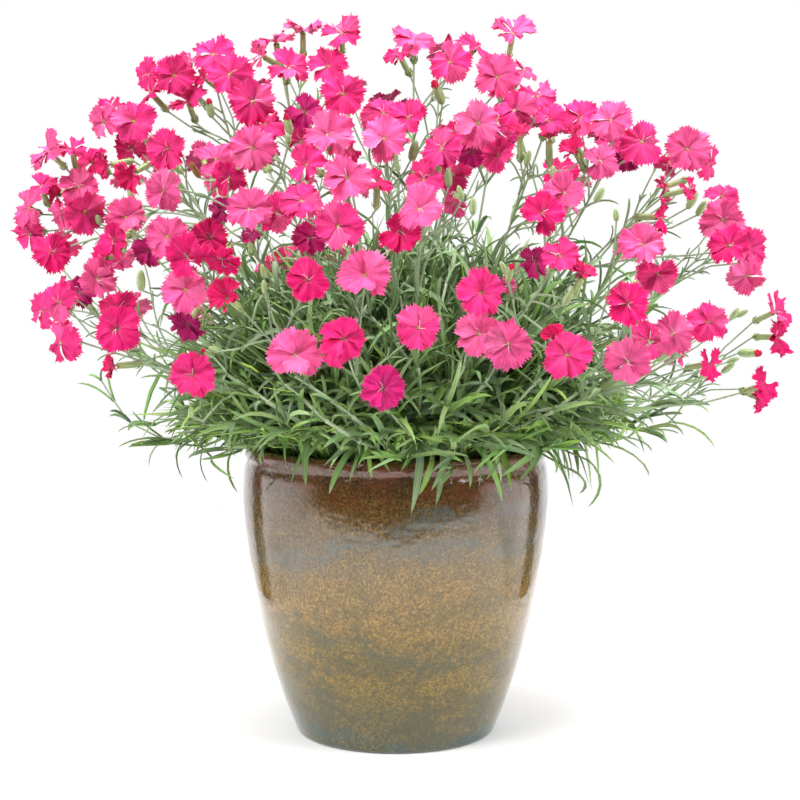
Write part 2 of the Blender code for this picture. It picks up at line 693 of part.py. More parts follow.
                        break
                    if done:
                        break
                if done:
                    break
            if done:
                break
        if not done:
            lost.append(heads[i])
    stems.sort(key=lambda s: s["k"])
    return stems, lost, space


def stem_shell(st):
    """One flowering stem as a single closed skin."""
    shell = Shell()
    shell.v = list(st["shell"].v)
    rings = st["rings"]
    shell.cap(rings[0])
    for j in range(len(rings) - 1):
        for face in range(4):
            if (j, face) in st["used"]:
                continue
            shell.f.append((rings[j][face], rings[j][(face + 1) % 4],
                            rings[j + 1][(face + 1) % 4], rings[j + 1][face]))
    s, q, p = st["frames"][-1]
    head_rings(shell, rings[-1], st["head"], s, q)
    for b in st["branches"]:
        last, s, q = sweep(shell, b["quad"], b["pts"], b["s"], b["q"],
                           [0.0007, 0.0007, 0.0009])
        head_rings(shell, last, b["head"], s, q)
    return shell


# ---------------------------------------------------------------------------
# Leafy tufts round the edge of the clump
# ---------------------------------------------------------------------------
TUFT_COUNT = 8
TUFT_RADIUS = 0.0790         # from the pot's axis to a tuft's root
TUFT_ROOT = 0.0068           # radius of the tuft's root stock
TUFT_ROOT_HEIGHT = 0.0120
BLADES_PER_TUFT = 8


def flat_ring(c, s, q, w, h):
    return [c - s * w - q * h, c + s * w - q * h, c + s * w + q * h, c - s * w + q * h]


def blade_curve(a, az, length, rise):
    out = vec(math.cos(az), math.sin(az), 0)
    up = vec(0, 0, 1)
    c1 = a + out * 0.22 * length + up * (0.20 + 0.25 * rise) * length
    c2 = a + out * (0.62 - 0.2 * rise) * length + up * (0.18 + 0.62 * rise) * length
    c3 = a + out * (0.92 - 0.45 * rise) * length + up * (0.02 + 0.80 * rise) * length
    return a, c1, c2, c3


def grow_tufts(space):
    rng = np.random.default_rng(88)
    tufts = []
    for k in range(TUFT_COUNT):
        made = None
        for shift in (0, 0.06, -0.06, 0.12, -0.12, 0.18, -0.18):
            az0 = 2 * math.pi * (k + 0.5) / TUFT_COUNT + shift
            cx, cy = TUFT_RADIUS * math.cos(az0), TUFT_RADIUS * math.sin(az0)
            z0 = soil_height(TUFT_RADIUS - 0.0068, 0) + FIT_GAP
            shell = Shell()
            rings = []
            for lev in range(3):
                z = z0 + TUFT_ROOT_HEIGHT * lev / 2
                rr = TUFT_ROOT * (1.0, 0.96, 0.80)[lev]
                rings.append(shell.ring([vec(cx + rr * math.cos(az0 + 2 * math.pi * j / 8),
                                             cy + rr * math.sin(az0 + 2 * math.pi * j / 8), z)
                                         for j in range(8)]))
            test = Shell()
            test.v = list(shell.v)
            test.bridge(rings[0], rings[1])
            test.bridge(rings[1], rings[2])
            test.cap(rings[0])
            test.f.append(tuple(rings[2]))
            if space.free(test):
                made = (az0, shell, rings, test)
                break
        if not made:
            continue
        az0, shell, rings, test = made
        used = {}
        blades = []
        root = vec(TUFT_RADIUS * math.cos(az0), TUFT_RADIUS * math.sin(az0), 0)
        wanted = [(1, 0, 0.10), (1, 1, 0.35), (1, 7, 0.35), (1, 2, 0.60), (1, 6, 0.60),
                  (1, 3, 0.85), (1, 5, 0.85), (0, 1, 0.2), (0, 7, 0.2), (1, 4, 1.0),
                  (0, 2, 0.5), (0, 6, 0.5), (0, 3, 0.8), (0, 5, 0.8)]
        for lev, j, rise in wanted:
            if len(blades) >= BLADES_PER_TUFT:
                break
            quad = [rings[lev][j], rings[lev][(j + 1) % 8],
                    rings[lev + 1][(j + 1) % 8], rings[lev + 1][j]]
            v = shell.v
            c = sum(v[x] for x in quad) / 4
            nf = unit(np.cross(v[quad[1]] - v[quad[0]], v[quad[3]] - v[quad[0]]))
            if float(nf @ (c - vec(root[0], root[1], c[2]))) < 0:
                nf = -nf
            h = unit(v[quad[1]] - v[quad[0]])
            az_face = math.atan2(nf[1], nf[0])
            done = False
            for _ in range(26):
                length = rng.uniform(0.085, 0.150)
                az = az_face + rng.uniform(-0.5, 0.5)
                rs = min(1.05, max(0.05, rise + rng.uniform(-0.25, 0.3)))
                a = c + nf * 0.0020 + vec(0, 0, 0.0012)
                ctrl = blade_curve(a, az, length, rs)
                p0 = unit(ctrl[1] - ctrl[0])
                if float(p0 @ nf) < 0.08:
                    continue
                ts = (0.0, 0.3, 0.62, 1.0)
                pts = [bezier(*ctrl, t) for t in ts]
                s = carry(h, p0)
                t = vec(0, 0, 1)
                sign = 1.0 if float(np.cross(h, nf) @ t) > 0 else -1.0
                q = np.cross(s, p0) * sign

                def build(target, first, start, fat):
                    last, s3, q3 = first, s, q
                    for m in range(start, len(pts)):
                        if m == 0:
                            p = unit(pts[1] - pts[0])
                        elif m == len(pts) - 1:
                            p = unit(pts[m] - pts[m - 1])
                        else:
                            p = unit(pts[m + 1] - pts[m - 1])
                        s3 = carry(s3, p)
                        c2 = np.cross(s3, p)
                        q3 = c2 if float(c2 @ q3) > 0 else -c2
                        if m == len(pts) - 1:
                            target.fan(last, pts[m] + p * fat)
                            break
                        w = (0.0021, 0.0027, 0.0023)[m] + fat
                        ring = target.ring(flat_ring(pts[m], s3, q3, w, 0.0006 + fat))
                        if last is not None:
                            target.bridge(last, ring)
                        last = ring

                trial = Shell()
                keep = pts[0]
                pts[0] = bezier(*ctrl, 0.06)
                build(trial, None, 0, 0.0005)
                pts[0] = keep
                if not space.free(trial):
                    continue
                real = Shell()
                build(real, None, 0, 0.0)
                space.add(real, 1000 + k)
                blades.append((quad, build))
                build(shell, quad, 0, 0.0)
                used[(lev, j)] = 1
                done = True
                break
        for lev in range(2):
            for j in range(8):
                if (lev, j) not in used:
                    shell.f.append((rings[lev][j], rings[lev][(j + 1) % 8],
                                    rings[lev + 1][(j + 1) % 8], rings[lev + 1][j]))
        shell.cap(rings[0])
        shell.f.append(tuple(rings[2]))
        space.add(test, 1000 + k)
        tufts.append((k, shell, len(blades)))
    return tufts


# ---------------------------------------------------------------------------
# Pot and soil
# ---------------------------------------------------------------------------
TURNS = 36
POT_PICK = (0, 1, 2, 3, 5, 7, 9, 11, 13, 14, 15, 16, 18, 19, 20, 21, 22, 23, 24)


def pot_inner(z):
    """Inside radius of the wall at a height."""
    rs = [p[0] for p in POT_OUTSIDE[2:16]]
    zs = [p[1] for p in POT_OUTSIDE[2:16]]
    return float(np.interp(z, zs, rs)) - POT_WALL


def lathe(name, profile, closed):
    """Turn a profile round the Z axis. Points on the axis become poles."""
    mesh = bmesh.new()
    rows = []
    for r, z in profile:
        if r < 1e-7:
            rows.append([mesh.verts.new((0, 0, z))])
        else:
            rows.append([mesh.verts.new((r * math.cos(2 * math.pi * i / TURNS),
                                         r * math.sin(2 * math.pi * i / TURNS), z))
                         for i in range(TURNS)])
    count = len(rows) if closed else len(rows) - 1
    for k in range(count):
        a, b = rows[k], rows[(k + 1) % len(rows)]
        for i in range(TURNS):
            j = (i + 1) % TURNS
            if len(a) == 1:
                mesh.faces.new((a[0], b[j], b[i]))
            elif len(b) == 1:
                mesh.faces.new((a[i], a[j], b[0]))
            else:
                mesh.faces.new((a[i], a[j], b[j], b[i]))
    return finish(name, mesh, True)


def finish(name, mesh, smooth):
    bmesh.ops.recalc_face_normals(mesh, faces=mesh.faces[:])
    data = bpy.data.meshes.new(name)
    mesh.to_mesh(data)
    mesh.free()
    obj = bpy.data.objects.new(name, data)
    bpy.context.scene.collection.objects.link(obj)
    if smooth:
        for f in data.polygons:
            f.use_smooth = True
    return obj


def from_shell(name, shell, smooth=False):
    mesh = bmesh.new()
    verts = [mesh.verts.new(tuple(float(x) for x in v)) for v in shell.v]
    for f in shell.f:
        mesh.faces.new([verts[i] for i in f])
    for v in [v for v in mesh.verts if not v.link_faces]:
        mesh.verts.remove(v)
    return finish(name, mesh, smooth)


def material(name, colour, rough, metallic=0.0, coat=0.0):
    m = bpy.data.materials.new(name)
    m.use_nodes = True
    b = m.node_tree.nodes["Principled BSDF"]
    b.inputs["Base Color"].default_value = (*colour, 1)
    b.inputs["Roughness"].default_value = rough
    b.inputs["Metallic"].default_value = metallic
    b.inputs["Coat Weight"].default_value = coat
    m.diffuse_color = (*colour, 1)
    return m


def build_pot():
    inner_heights = (0.1860, 0.1740, 0.1640, 0.1370, 0.1075, 0.0785, 0.0485, 0.0192)
    profile = [POT_OUTSIDE[i] for i in POT_PICK]
    profile += [(pot_inner(z), z) for z in inner_heights]
    profile += [(0.0648, POT_FLOOR), (DRAIN_RADIUS, POT_FLOOR), (DRAIN_RADIUS, 0.0)]
    pot = lathe("pot", profile, True)
    pot.data.materials.append(material("pot_glaze", (0.16, 0.12, 0.06), 0.12, coat=0.6))
    return pot


def build_soil():
    edge = pot_inner(0.1740) - FIT_GAP
    profile = [(0.0, 0.0160), (0.0200, 0.0160), (0.0235, POT_FLOOR + FIT_GAP),
               (0.0644, POT_FLOOR + FIT_GAP)]
    profile += [(pot_inner(z) - FIT_GAP, z) for z in (0.0192, 0.0485, 0.0785, 0.1075, 0.1370,
                                                     0.1640)]
    profile += [(edge, soil_height(edge, 0) - 0.0004)]
    profile += [(r, soil_height(r, 0)) for r in (0.0700, 0.0350)]
    profile += [(0.0, SOIL_TOP)]
    soil = lathe("potting_soil", profile, False)
    soil.data.materials.append(material("soil_brown", (0.035, 0.024, 0.016), 0.95))
    return soil


def main():
    build_pot()
    build_soil()
    stems, lost, space = grow_plant()
    tufts = grow_tufts(space)
    bloom = (0.80, 0.03, 0.18)
    for n, st in enumerate(stems):
        name = "flowering_stem_%02d" % (n + 1)
        obj = from_shell(name, stem_shell(st))
        obj.data.materials.append(material(name + "_colour", bloom, 0.6))
    for k, shell, count in tufts:
        name = "leaf_tuft_%02d" % (k + 1)
        obj = from_shell(name, shell)
        obj.data.materials.append(material(name + "_green", (0.10, 0.20, 0.07), 0.6))


main()
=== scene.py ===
"""Looks of a pinks plant (dianthus) in a glazed stoneware pot.

Metres, +Z up, origin at the middle of the pot's underside. The plant is grown
by the same rules as its solids, then dressed: every flower gets five toothed
petals, a calyx and styles, every shoot its pairs of narrow channelled leaves.
"""

import math

import bpy
import numpy as np
from mathutils.bvhtree import BVHTree
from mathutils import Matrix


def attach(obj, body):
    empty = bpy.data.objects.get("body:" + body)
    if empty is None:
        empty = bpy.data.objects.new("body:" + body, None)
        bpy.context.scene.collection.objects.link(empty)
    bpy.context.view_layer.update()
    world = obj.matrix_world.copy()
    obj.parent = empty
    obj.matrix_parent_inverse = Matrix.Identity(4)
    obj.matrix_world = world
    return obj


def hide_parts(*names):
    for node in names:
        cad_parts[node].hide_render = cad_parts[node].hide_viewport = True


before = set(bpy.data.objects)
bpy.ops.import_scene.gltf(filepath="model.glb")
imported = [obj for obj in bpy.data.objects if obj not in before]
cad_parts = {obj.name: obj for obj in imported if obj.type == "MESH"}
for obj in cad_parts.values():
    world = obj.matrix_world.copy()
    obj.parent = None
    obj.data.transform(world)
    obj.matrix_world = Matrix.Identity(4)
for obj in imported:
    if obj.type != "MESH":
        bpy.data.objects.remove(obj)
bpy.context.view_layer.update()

# ---------------------------------------------------------------------------
# Driving dimensions, metres
# ---------------------------------------------------------------------------
POT_HEIGHT = 0.2027          # underside to the top of the rolled lip
POT_WALL = 0.0065            # thrown stoneware wall
POT_FLOOR = 0.0100
DRAIN_RADIUS = 0.0100        # drainage hole in the middle of the floor
FIT_GAP = 0.0003             # clearance between touching pieces
SOIL_TOP = 0.1780            # potting soil, 25 mm below the lip
SOIL_EDGE_DROP = 0.0035
CROWN = (0.0, 0.0, 0.190)    # where the shoots fan out from
CROWN_RADIUS = 0.062         # the shoots come up inside this circle
CANOPY_CENTRE = (0.0, 0.0, 0.276)
CANOPY_RADII = (0.256, 0.205, 0.212)
CALYX_LENGTH = 0.0150
STEM_COUNT = 45

# outside of the pot: radius, height
POT_OUTSIDE = [
    (0.0660, 0.0000), (0.0698, 0.0010), (0.0714, 0.0042), (0.0772, 0.0192),
    (0.0822, 0.0340), (0.0870, 0.0485), (0.0914, 0.0640), (0.0950, 0.0785),
    (0.0981, 0.0930), (0.1007, 0.1075), (0.1029, 0.1220), (0.1047, 0.1370),
    (0.1060, 0.1500), (0.1068, 0.1640), (0.1067, 0.1770), (0.1058, 0.1860),
    (0.1043, 0.1915), (0.1046, 0.1940), (0.1054, 0.1965), (0.1052, 0.1997),
    (0.1038, 0.2019), (0.1014, 0.2027), (0.0990, 0.2016), (0.0975, 0.1990),
    (0.0972, 0.1940)]

# The survey point in front of the plant that the bearings below are read
# from: its distance from the pot's axis, height, dip of the level axis and
# the number of bearing units in one unit of slope.
SURVEY_POINT = (0.0031, -1.2000, 0.3458)
SURVEY_DIP = 5.373
SURVEY_SCALE = 1720.0
SURVEY_CENTRE = 400.0

# Open flowers that face the survey point: across, down, breadth (bearing
# units), tilt away from the survey point (degrees), heading of that tilt
# (degrees, 0 right, 90 up), colour class and how deep it sits in the canopy.
FLOWERS = [
    (342, 33, 43, 50, 90, "M", 0), (303, 31, 42, 84, 90, "L", 0),
    (276, 42, 40, 80, 100, "L", 0), (262, 56, 36, 78, 150, "L", 1),
    (289, 68, 42, 35, 80, "M", 0), (328, 66, 42, 35, 110, "M", 1),
    (343, 94, 47, 18, 90, "M", 0), (305, 112, 40, 35, 70, "V", 1),
    (213, 54, 45, 46, 88, "M", 0), (230, 74, 50, 25, 80, "M", 0),
    (253, 101, 48, 22, 60, "M", 0), (174, 75, 44, 25, 110, "M", 0),
    (149, 74, 36, 52, 175, "M", 1), (190, 61, 36, 60, 85, "M", 1),
    (203, 76, 28, 60, 140, "D", 2), (188, 102, 42, 60, 110, "M", 1),
    (151, 93, 32, 78, 132, "D", 1), (134, 121, 46, 20, 100, "M", 0),
    (111, 106, 30, 60, 120, "D", 1), (104, 122, 36, 50, 180, "L", 1),
    (132, 148, 38, 45, 265, "D", 1), (168, 149, 46, 25, 180, "M", 0),
    (216, 159, 44, 35, 100, "L", 0), (252, 148, 47, 10, 60, "L", 0),
    (134, 173, 34, 45, 210, "C", 0), (109, 165, 26, 65, 190, "C", 0),
    (164, 191, 44, 28, 190, "L", 0), (126, 217, 44, 20, 90, "L", 1),
    (115, 239, 38, 42, 200, "D", 0), (167, 237, 48, 15, 90, "L", 0),
    (210, 238, 46, 20, 60, "D", 1), (187, 256, 46, 35, 270, "D", 0),
    (223, 259, 38, 35, 240, "D", 0), (229, 178, 40, 35, 225, "D", 0),
    (250, 209, 50, 8, 90, "L", 0), (222, 210, 30, 30, 90, "V", 2),
    (150, 250, 34, 40, 200, "V", 1), (137, 256, 34, 55, 160, "L", 1),
    (105, 259, 36, 50, 200, "D", 1), (97, 278, 40, 25, 250, "L", 0),
    (119, 261, 28, 60, 250, "M", 2), (49, 152, 44, 66, 135, "L", 0),
    (72, 150, 34, 68, 100, "M", 1), (92, 163, 38, 56, 150, "D", 1),
    (41, 187, 36, 55, 110, "M", 1), (29, 208, 40, 30, 150, "L", 0),
    (30, 234, 38, 40, 190, "M", 1), (52, 252, 42, 10, 200, "D", 0),
    (57, 195, 28, 55, 200, "D", 2), (79, 187, 42, 30, 100, "L", 1),
    (85, 212, 48, 20, 330, "M", 0), (64, 213, 34, 60, 190, "L", 1),
    (60, 302, 44, 36, 190, "M", 0), (79, 293, 38, 45, 60, "V", 1),
    (42, 311, 40, 56, 185, "M", 1), (60, 343, 46, 52, 182, "M", 0),
    (117, 329, 50, 8, 120, "D", 0), (119, 308, 40, 30, 80, "D", 1),
    (115, 366, 26, 68, 185, "C", 0), (185, 290, 49, 6, 100, "L", 0),
    (188, 323, 40, 42, 240, "V", 1), (228, 298, 37, 38, 140, "C", 0),
    (192, 375, 50, 6, 200, "M", 0), (295, 355, 54, 10, 0, "L", 0),
    (264, 124, 44, 52, 85, "M", 1), (328, 135, 52, 32, 100, "L", 0),
    (302, 141, 34, 40, 150, "M", 2), (349, 149, 36, 66, 60, "D", 0),
    (306, 165, 42, 45, 150, "M", 0), (347, 178, 50, 32, 110, "L", 0),
    (377, 182, 36, 72, 88, "D", 1), (384, 138, 48, 34, 100, "L", 0),
    (383, 113, 44, 35, 90, "M", 1), (277, 213, 46, 22, 0, "M", 1),
    (301, 201, 46, 32, 90, "M", 0), (338, 226, 52, 10, 90, "M", 0),
    (310, 238, 38, 25, 90, "V", 2), (251, 237, 22, 40, 90, "V", 2),
    (401, 232, 46, 28, 95, "D", 1), (308, 280, 47, 10, 90, "D", 0),
    (365, 275, 53, 8, 90, "L", 0), (344, 339, 47, 25, 100, "D", 0),
    (334, 353, 32, 30, 200, "M", 1), (419, 328, 51, 5, 90, "M", 0),
    (383, 389, 48, 10, 90, "V", 0), (413, 40, 47, 60, 92, "L", 0),
    (400, 56, 34, 64, 118, "D", 1), (450, 62, 46, 30, 85, "M", 0),
    (476, 48, 42, 74, 45, "M", 0), (513, 33, 46, 70, 80, "L", 0),
    (502, 59, 22, 68, 90, "M", 2), (497, 77, 48, 28, 95, "L", 0),
    (524, 70, 32, 74, 60, "L", 1), (538, 96, 40, 60, 85, "M", 1),
    (515, 110, 44, 32, 85, "M", 0), (478, 123, 50, 15, 60, "L", 0),
    (408, 118, 42, 30, 80, "M", 0), (549, 121, 38, 46, 70, "M", 0),
    (520, 135, 24, 70, 92, "C", 0), (549, 139, 20, 76, 92, "C", 0),
    (505, 137, 30, 35, 90, "V", 2), (442, 149, 44, 25, 90, "M", 0),
    (455, 132, 24, 40, 90, "D", 2), (471, 152, 34, 30, 300, "V", 2),
    (498, 155, 42, 25, 160, "M", 1), (424, 180, 44, 48, 100, "M", 1),
    (453, 175, 40, 35, 280, "M", 1), (420, 209, 50, 22, 95, "L", 0),
    (455, 204, 30, 48, 260, "L", 1), (542, 213, 46, 18, 100, "D", 0),
    (564, 193, 46, 44, 92, "L", 1), (560, 171, 42, 52, 92, "D", 2),
    (581, 117, 42, 42, 95, "M", 1), (611, 120, 44, 30, 110, "L", 0),
    (574, 135, 20, 64, 110, "C", 0), (575, 152, 30, 56, 120, "C", 0),
    (599, 161, 40, 36, 60, "L", 0), (611, 144, 36, 40, 90, "V", 1),
    (642, 142, 47, 15, 70, "M", 0), (628, 158, 32, 35, 270, "V", 1),
    (687, 149, 48, 12, 60, "L", 0), (666, 165, 26, 55, 250, "M", 1),
    (709, 164, 38, 62, 5, "M", 1), (665, 187, 28, 66, 200, "M", 1),
    (689, 189, 26, 72, 15, "D", 0), (659, 217, 40, 70, 0, "D", 1),
    (643, 245, 50, 28, 100, "L", 0), (657, 273, 46, 15, 300, "M", 0),
    (628, 304, 49, 15, 90, "D", 0), (649, 341, 46, 25, 0, "M", 1),
    (672, 334, 46, 28, 20, "L", 0), (628, 361, 50, 22, 250, "L", 0),
    (708, 322, 44, 18, 60, "M", 0), (709, 364, 38, 58, 10, "D", 0),
    (763, 385, 38, 66, 20, "D", 0), (761, 399, 32, 68, 335, "D", 1),
    (775, 312, 42, 66, 25, "M", 0), (776, 337, 42, 62, 0, "D", 0),
    (723, 220, 48, 22, 95, "L", 1), (722, 196, 38, 42, 90, "M", 2),
    (729, 246, 46, 15, 150, "D", 0), (748, 247, 44, 35, 10, "M", 1),
    (746, 276, 42, 35, 300, "L", 1), (481, 293, 50, 8, 90, "M", 0),
    (507, 285, 20, 40, 0, "L", 2), (479, 334, 48, 15, 30, "L", 1),
    (508, 344, 53, 10, 0, "L", 0), (567, 355, 51, 8, 90, "M", 0),
    (553, 337, 22, 50, 120, "C", 1), (535, 261, 36, 38, 200, "V", 1),
    (560, 256, 42, 32, 60, "M", 0), (582, 275, 24, 52, 70, "C", 0)]

# Unopened buds: across, down, length (bearing units), heading, tip
# ("g" green, "r" showing red petals, "b" a spent brown one).
BUDS = [
    (288, 124, 22, 100, "r"), (288, 138, 12, 100, "g"), (438, 92, 26, 112, "r"),
    (460, 192, 18, 105, "g"), (448, 176, 22, 95, "g"), (437, 165, 22, 98, "g"),
    (473, 205, 20, 90, "g"), (414, 149, 24, 75, "g"), (528, 157, 18, 75, "g"),
    (553, 171, 14, 90, "g"), (600, 194, 20, 60, "g"), (616, 214, 14, 95, "g"),
    (693, 199, 22, 60, "g"), (702, 207, 20, 60, "g"), (735, 313, 16, 55, "g"),
    (743, 313, 14, 30, "g"), (750, 353, 24, 0, "r"), (734, 360, 14, 20, "g"),
    (729, 367, 18, 40, "g"), (213, 349, 13, 160, "g"), (191, 411, 12, 90, "g"),
    (98, 219, 12, 110, "g"), (503, 267, 16, 115, "g"), (510, 273, 20, 75, "r"),
    (569, 296, 22, 60, "g"), (263, 270, 16, 100, "g"), (264, 286, 16, 95, "g"),
    (141, 279, 24, 90, "g"), (207, 353, 14, 150, "r"), (195, 170, 18, 120, "b"),
    (210, 108, 20, 100, "r")]

BACK_FLOWERS = 70            # flowers on the far side of the plant


def vec(*a):
    return np.array(a, dtype=float)


def unit(v):
    v = np.asarray(v, dtype=float)
    n = float(np.linalg.norm(v))
    return v / n if n > 1e-12 else vec(0, 0, 1)


def survey_axes():
    dip = math.radians(SURVEY_DIP)
    fwd = vec(0, math.cos(dip), -math.sin(dip))
    up = vec(0, math.sin(dip), math.cos(dip))
    return vec(1, 0, 0), fwd, up


def bearing_ray(across, down):
    """Ray from the survey point; its length along the axis is 1."""
    right, fwd, up = survey_axes()
    return (fwd + right * (across - SURVEY_CENTRE) / SURVEY_SCALE
            - up * (down - SURVEY_CENTRE) / SURVEY_SCALE)


def bearing_of(point):
    right, fwd, up = survey_axes()
    rel = np.asarray(point, dtype=float) - np.array(SURVEY_POINT)
    depth = float(rel @ fwd)
    return (SURVEY_CENTRE + SURVEY_SCALE * float(rel @ right) / depth,
            SURVEY_CENTRE - SURVEY_SCALE * float(rel @ up) / depth, depth)


def canopy_hit(across, down, inset):
    """Where a bearing meets the near side of the canopy, inset inwards."""
    origin = np.array(SURVEY_POINT)
    ray = bearing_ray(across, down)
    radii = np.array(CANOPY_RADII) - inset
    o = (origin - np.array(CANOPY_CENTRE)) / radii
    d = ray / radii
    a, b, c = float(d @ d), float(o @ d), float(o @ o) - 1.0
    disc = b * b - a * c
    t = (-b - math.sqrt(disc)) / a if disc > 0 else -b / a
    return origin + ray * t, t


def facing(ray, tilt, heading):
    """World direction of a flower's face from its tilt and heading."""
    w = -unit(ray)
    right, fwd, up = survey_axes()
    u = unit(right - w * float(right @ w))
    v = np.cross(w, u)
    a, h = math.radians(tilt), math.radians(heading)
    return unit(w * math.cos(a) + (u * math.cos(h) + v * math.sin(h)) * math.sin(a))


def surveyed_heads():
    """All heads of the near side: place, face direction, radius, class."""
    heads = []
    for across, down, breadth, tilt, heading, kind, layer in FLOWERS:
        inset = (0.0, 0.020, 0.045)[layer]
        p, t = canopy_hit(across, down, inset)
        r = min(max(0.5 * breadth * t / SURVEY_SCALE, 0.0060), 0.0172)
        heads.append({"p": p, "t": t, "ray": bearing_ray(across, down),
                      "n": facing(bearing_ray(across, down), tilt, heading),
                      "r": r, "kind": kind, "layer": layer, "back": False,
                      "bud": None, "tilt": tilt})
    for across, down, length, heading, tip in BUDS:
        p, t = canopy_hit(across, down, 0.008)
        size = 0.5 * length * t / SURVEY_SCALE
        heads.append({"p": p, "t": t, "ray": bearing_ray(across, down),
                      "n": facing(bearing_ray(across, down), 68, heading),
                      "r": min(max(size * 0.36, 0.0018), 0.0030), "kind": "B",
                      "layer": 0, "back": False, "bud": (tip, 2 * size),
                      "tilt": 68})
    return heads


def far_heads(near):
    """Flowers of the far side, kept where the near ones screen them."""
    rng = np.random.default_rng(4107)
    cover = []
    for h in near:
        if h["bud"] is None and h["tilt"] < 50 and h["r"] > 0.010:
            x, y, _ = bearing_of(h["p"])
            cover.append((x, y, h["r"] * SURVEY_SCALE / h["t"]))
    out = []
    tries = 0
    while len(out) < BACK_FLOWERS and tries < 40000:
        tries += 1
        az = rng.uniform(0.02, math.pi - 0.02)
        z = rng.uniform(-0.14, 0.97)
        rr = math.sqrt(max(0.0, 1 - z * z))
        q = vec(rr * math.cos(az), rr * math.sin(az), z)
        inset = rng.choice([0.0, 0.0, 0.012, 0.025])
        p = np.array(CANOPY_CENTRE) + q * (np.array(CANOPY_RADII) - inset)
        if p[1] < 0.015:
            continue
        x, y, t = bearing_of(p)
        leafy = y > 262 and 262 < x < 545
        hidden = any((x - a) ** 2 + (y - b) ** 2 < (0.62 * c) ** 2 for a, b, c in cover)
        if not (leafy or hidden):
            continue
        if any(np.linalg.norm(p - o["p"]) < 0.0285 for o in out):
            continue
        n = unit(q / np.array(CANOPY_RADII) + vec(0, 0, 1.4)
                 + rng.normal(0, 1, 3) * 1.3)
        if n @ unit(q) < 0.35:
            n = unit(n + unit(q))
        kind = rng.choice(["L", "M", "M", "M", "D", "V", "C"])
        r = rng.uniform(0.0135, 0.0165) if kind != "C" else rng.uniform(0.008, 0.012)
        out.append({"p": p, "t": t, "ray": q, "n": n, "r": float(r),
                    "kind": str(kind), "layer": 0, "back": True, "bud": None,
                    "tilt": 20})
    return out


def group_heads(heads):
    """Gather neighbouring heads into flowering stems."""
    base = np.array([h["p"] - h["n"] * 0.020 for h in heads])
    crown = np.array(CROWN)
    spread = base - crown
    seeds = []
    # farthest point seeding, always the same
    first = int(np.argmax(spread[:, 0]))
    seeds.append(first)
    dist = np.linalg.norm(base - base[first], axis=1)
    while len(seeds) < STEM_COUNT:
        nxt = int(np.argmax(dist))
        seeds.append(nxt)
        dist = np.minimum(dist, np.linalg.norm(base - base[nxt], axis=1))
    centres = base[seeds].copy()
    for _ in range(25):
        d = np.linalg.norm(base[:, None, :] - centres[None, :, :], axis=2)
        # each head goes to its nearest centre, each centre moves to the mean of its heads
        owner = np.argmin(d, axis=1)
        for k in range(len(centres)):
            if np.any(owner == k):
                centres[k] = base[owner == k].mean(axis=0)
    groups = [np.where(owner == k)[0].tolist() for k in range(len(centres))]
    groups = [g for g in groups if g]
    groups.sort(key=lambda g: math.atan2(base[g, 1].mean(), base[g, 0].mean()))
    return groups


def bezier(a, b, c, d, t):
    s = 1 - t
    return a * s ** 3 + b * 3 * s * s * t + c * 3 * s * t * t + d * t ** 3


# ---------------------------------------------------------------------------
# Growing the plant: every solid keeps clear of every other one
# ---------------------------------------------------------------------------
class Shell:
    """A closed skin under construction."""

    def __init__(self):
        self.v = []
        self.f = []

    def ring(self, pts):
        i = len(self.v)
        self.v.extend([np.asarray(p, dtype=float) for p in pts])
        return list(range(i, i + len(pts)))

    def bridge(self, a, b):
        n = len(a)
        for i in range(n):
            self.f.append((a[i], a[(i + 1) % n], b[(i + 1) % n], b[i]))

    def zip_rings(self, a, b):
        """Join two rings of different counts, both walked the same way."""
        n, m = len(a), len(b)
        i = j = 0
        while i < n or j < m:
            if j >= m or (i < n and (i + 0.5) / n <= (j + 0.5) / m):
                self.f.append((a[i % n], a[(i + 1) % n], b[j % m]))
                i += 1
            else:
                self.f.append((a[i % n], b[(j + 1) % m], b[j % m]))
                j += 1

    def fan(self, ring, tip, flip=False):
        k = self.ring([tip])[0]
        n = len(ring)
        for i in range(n):
            self.f.append((ring[i], ring[(i + 1) % n], k))

    def cap(self, ring):
        self.f.append(tuple(reversed(ring)))


def square(c, s, q, w):
    return [c - s * w - q * w, c + s * w - q * w, c + s * w + q * w, c - s * w + q * w]


def carry(s, p):
    """Carry the side vector s on to the new path direction p."""
    s = s - p * float(s @ p)
    return unit(s)


def head_rings(shell, last, head, s, q, fat=0.0):
    """Calyx and flower (or bud) on the end of a shoot, from its last ring."""
    p, n, r = head["p"], head["n"], head["r"]
    s = carry(s, n)
    q = np.cross(s, n) * (1 if float(np.cross(s, n) @ q) > 0 else -1)
    if head["kind"] == "B":
        length = head["bud"][1]
        mid = shell.ring(square(p - n * 0.12 * length, s, q, r + fat))
        shell.bridge(last, mid)
        shell.fan(mid, p + n * (0.5 * length + fat))
        return
    top = shell.ring(square(p - n * (0.0024 + fat), s, q, 0.0021 + fat))
    shell.bridge(last, top)
    lift = 0.55 * r if head["kind"] == "C" else 0.0012
    count = 10
    rim = []
    for i in range(count):
        a = 2 * math.pi * i / count - 0.75 * math.pi
        rr = (r if i % 2 == 0 else 0.84 * r) + fat
        rim.append(p + (s * math.cos(a) + q * math.sin(a)) * rr + n * (lift - 0.2 * fat))
    rim = shell.ring(rim)
    shell.zip_rings(top, rim)
    shell.f.append(tuple(rim))


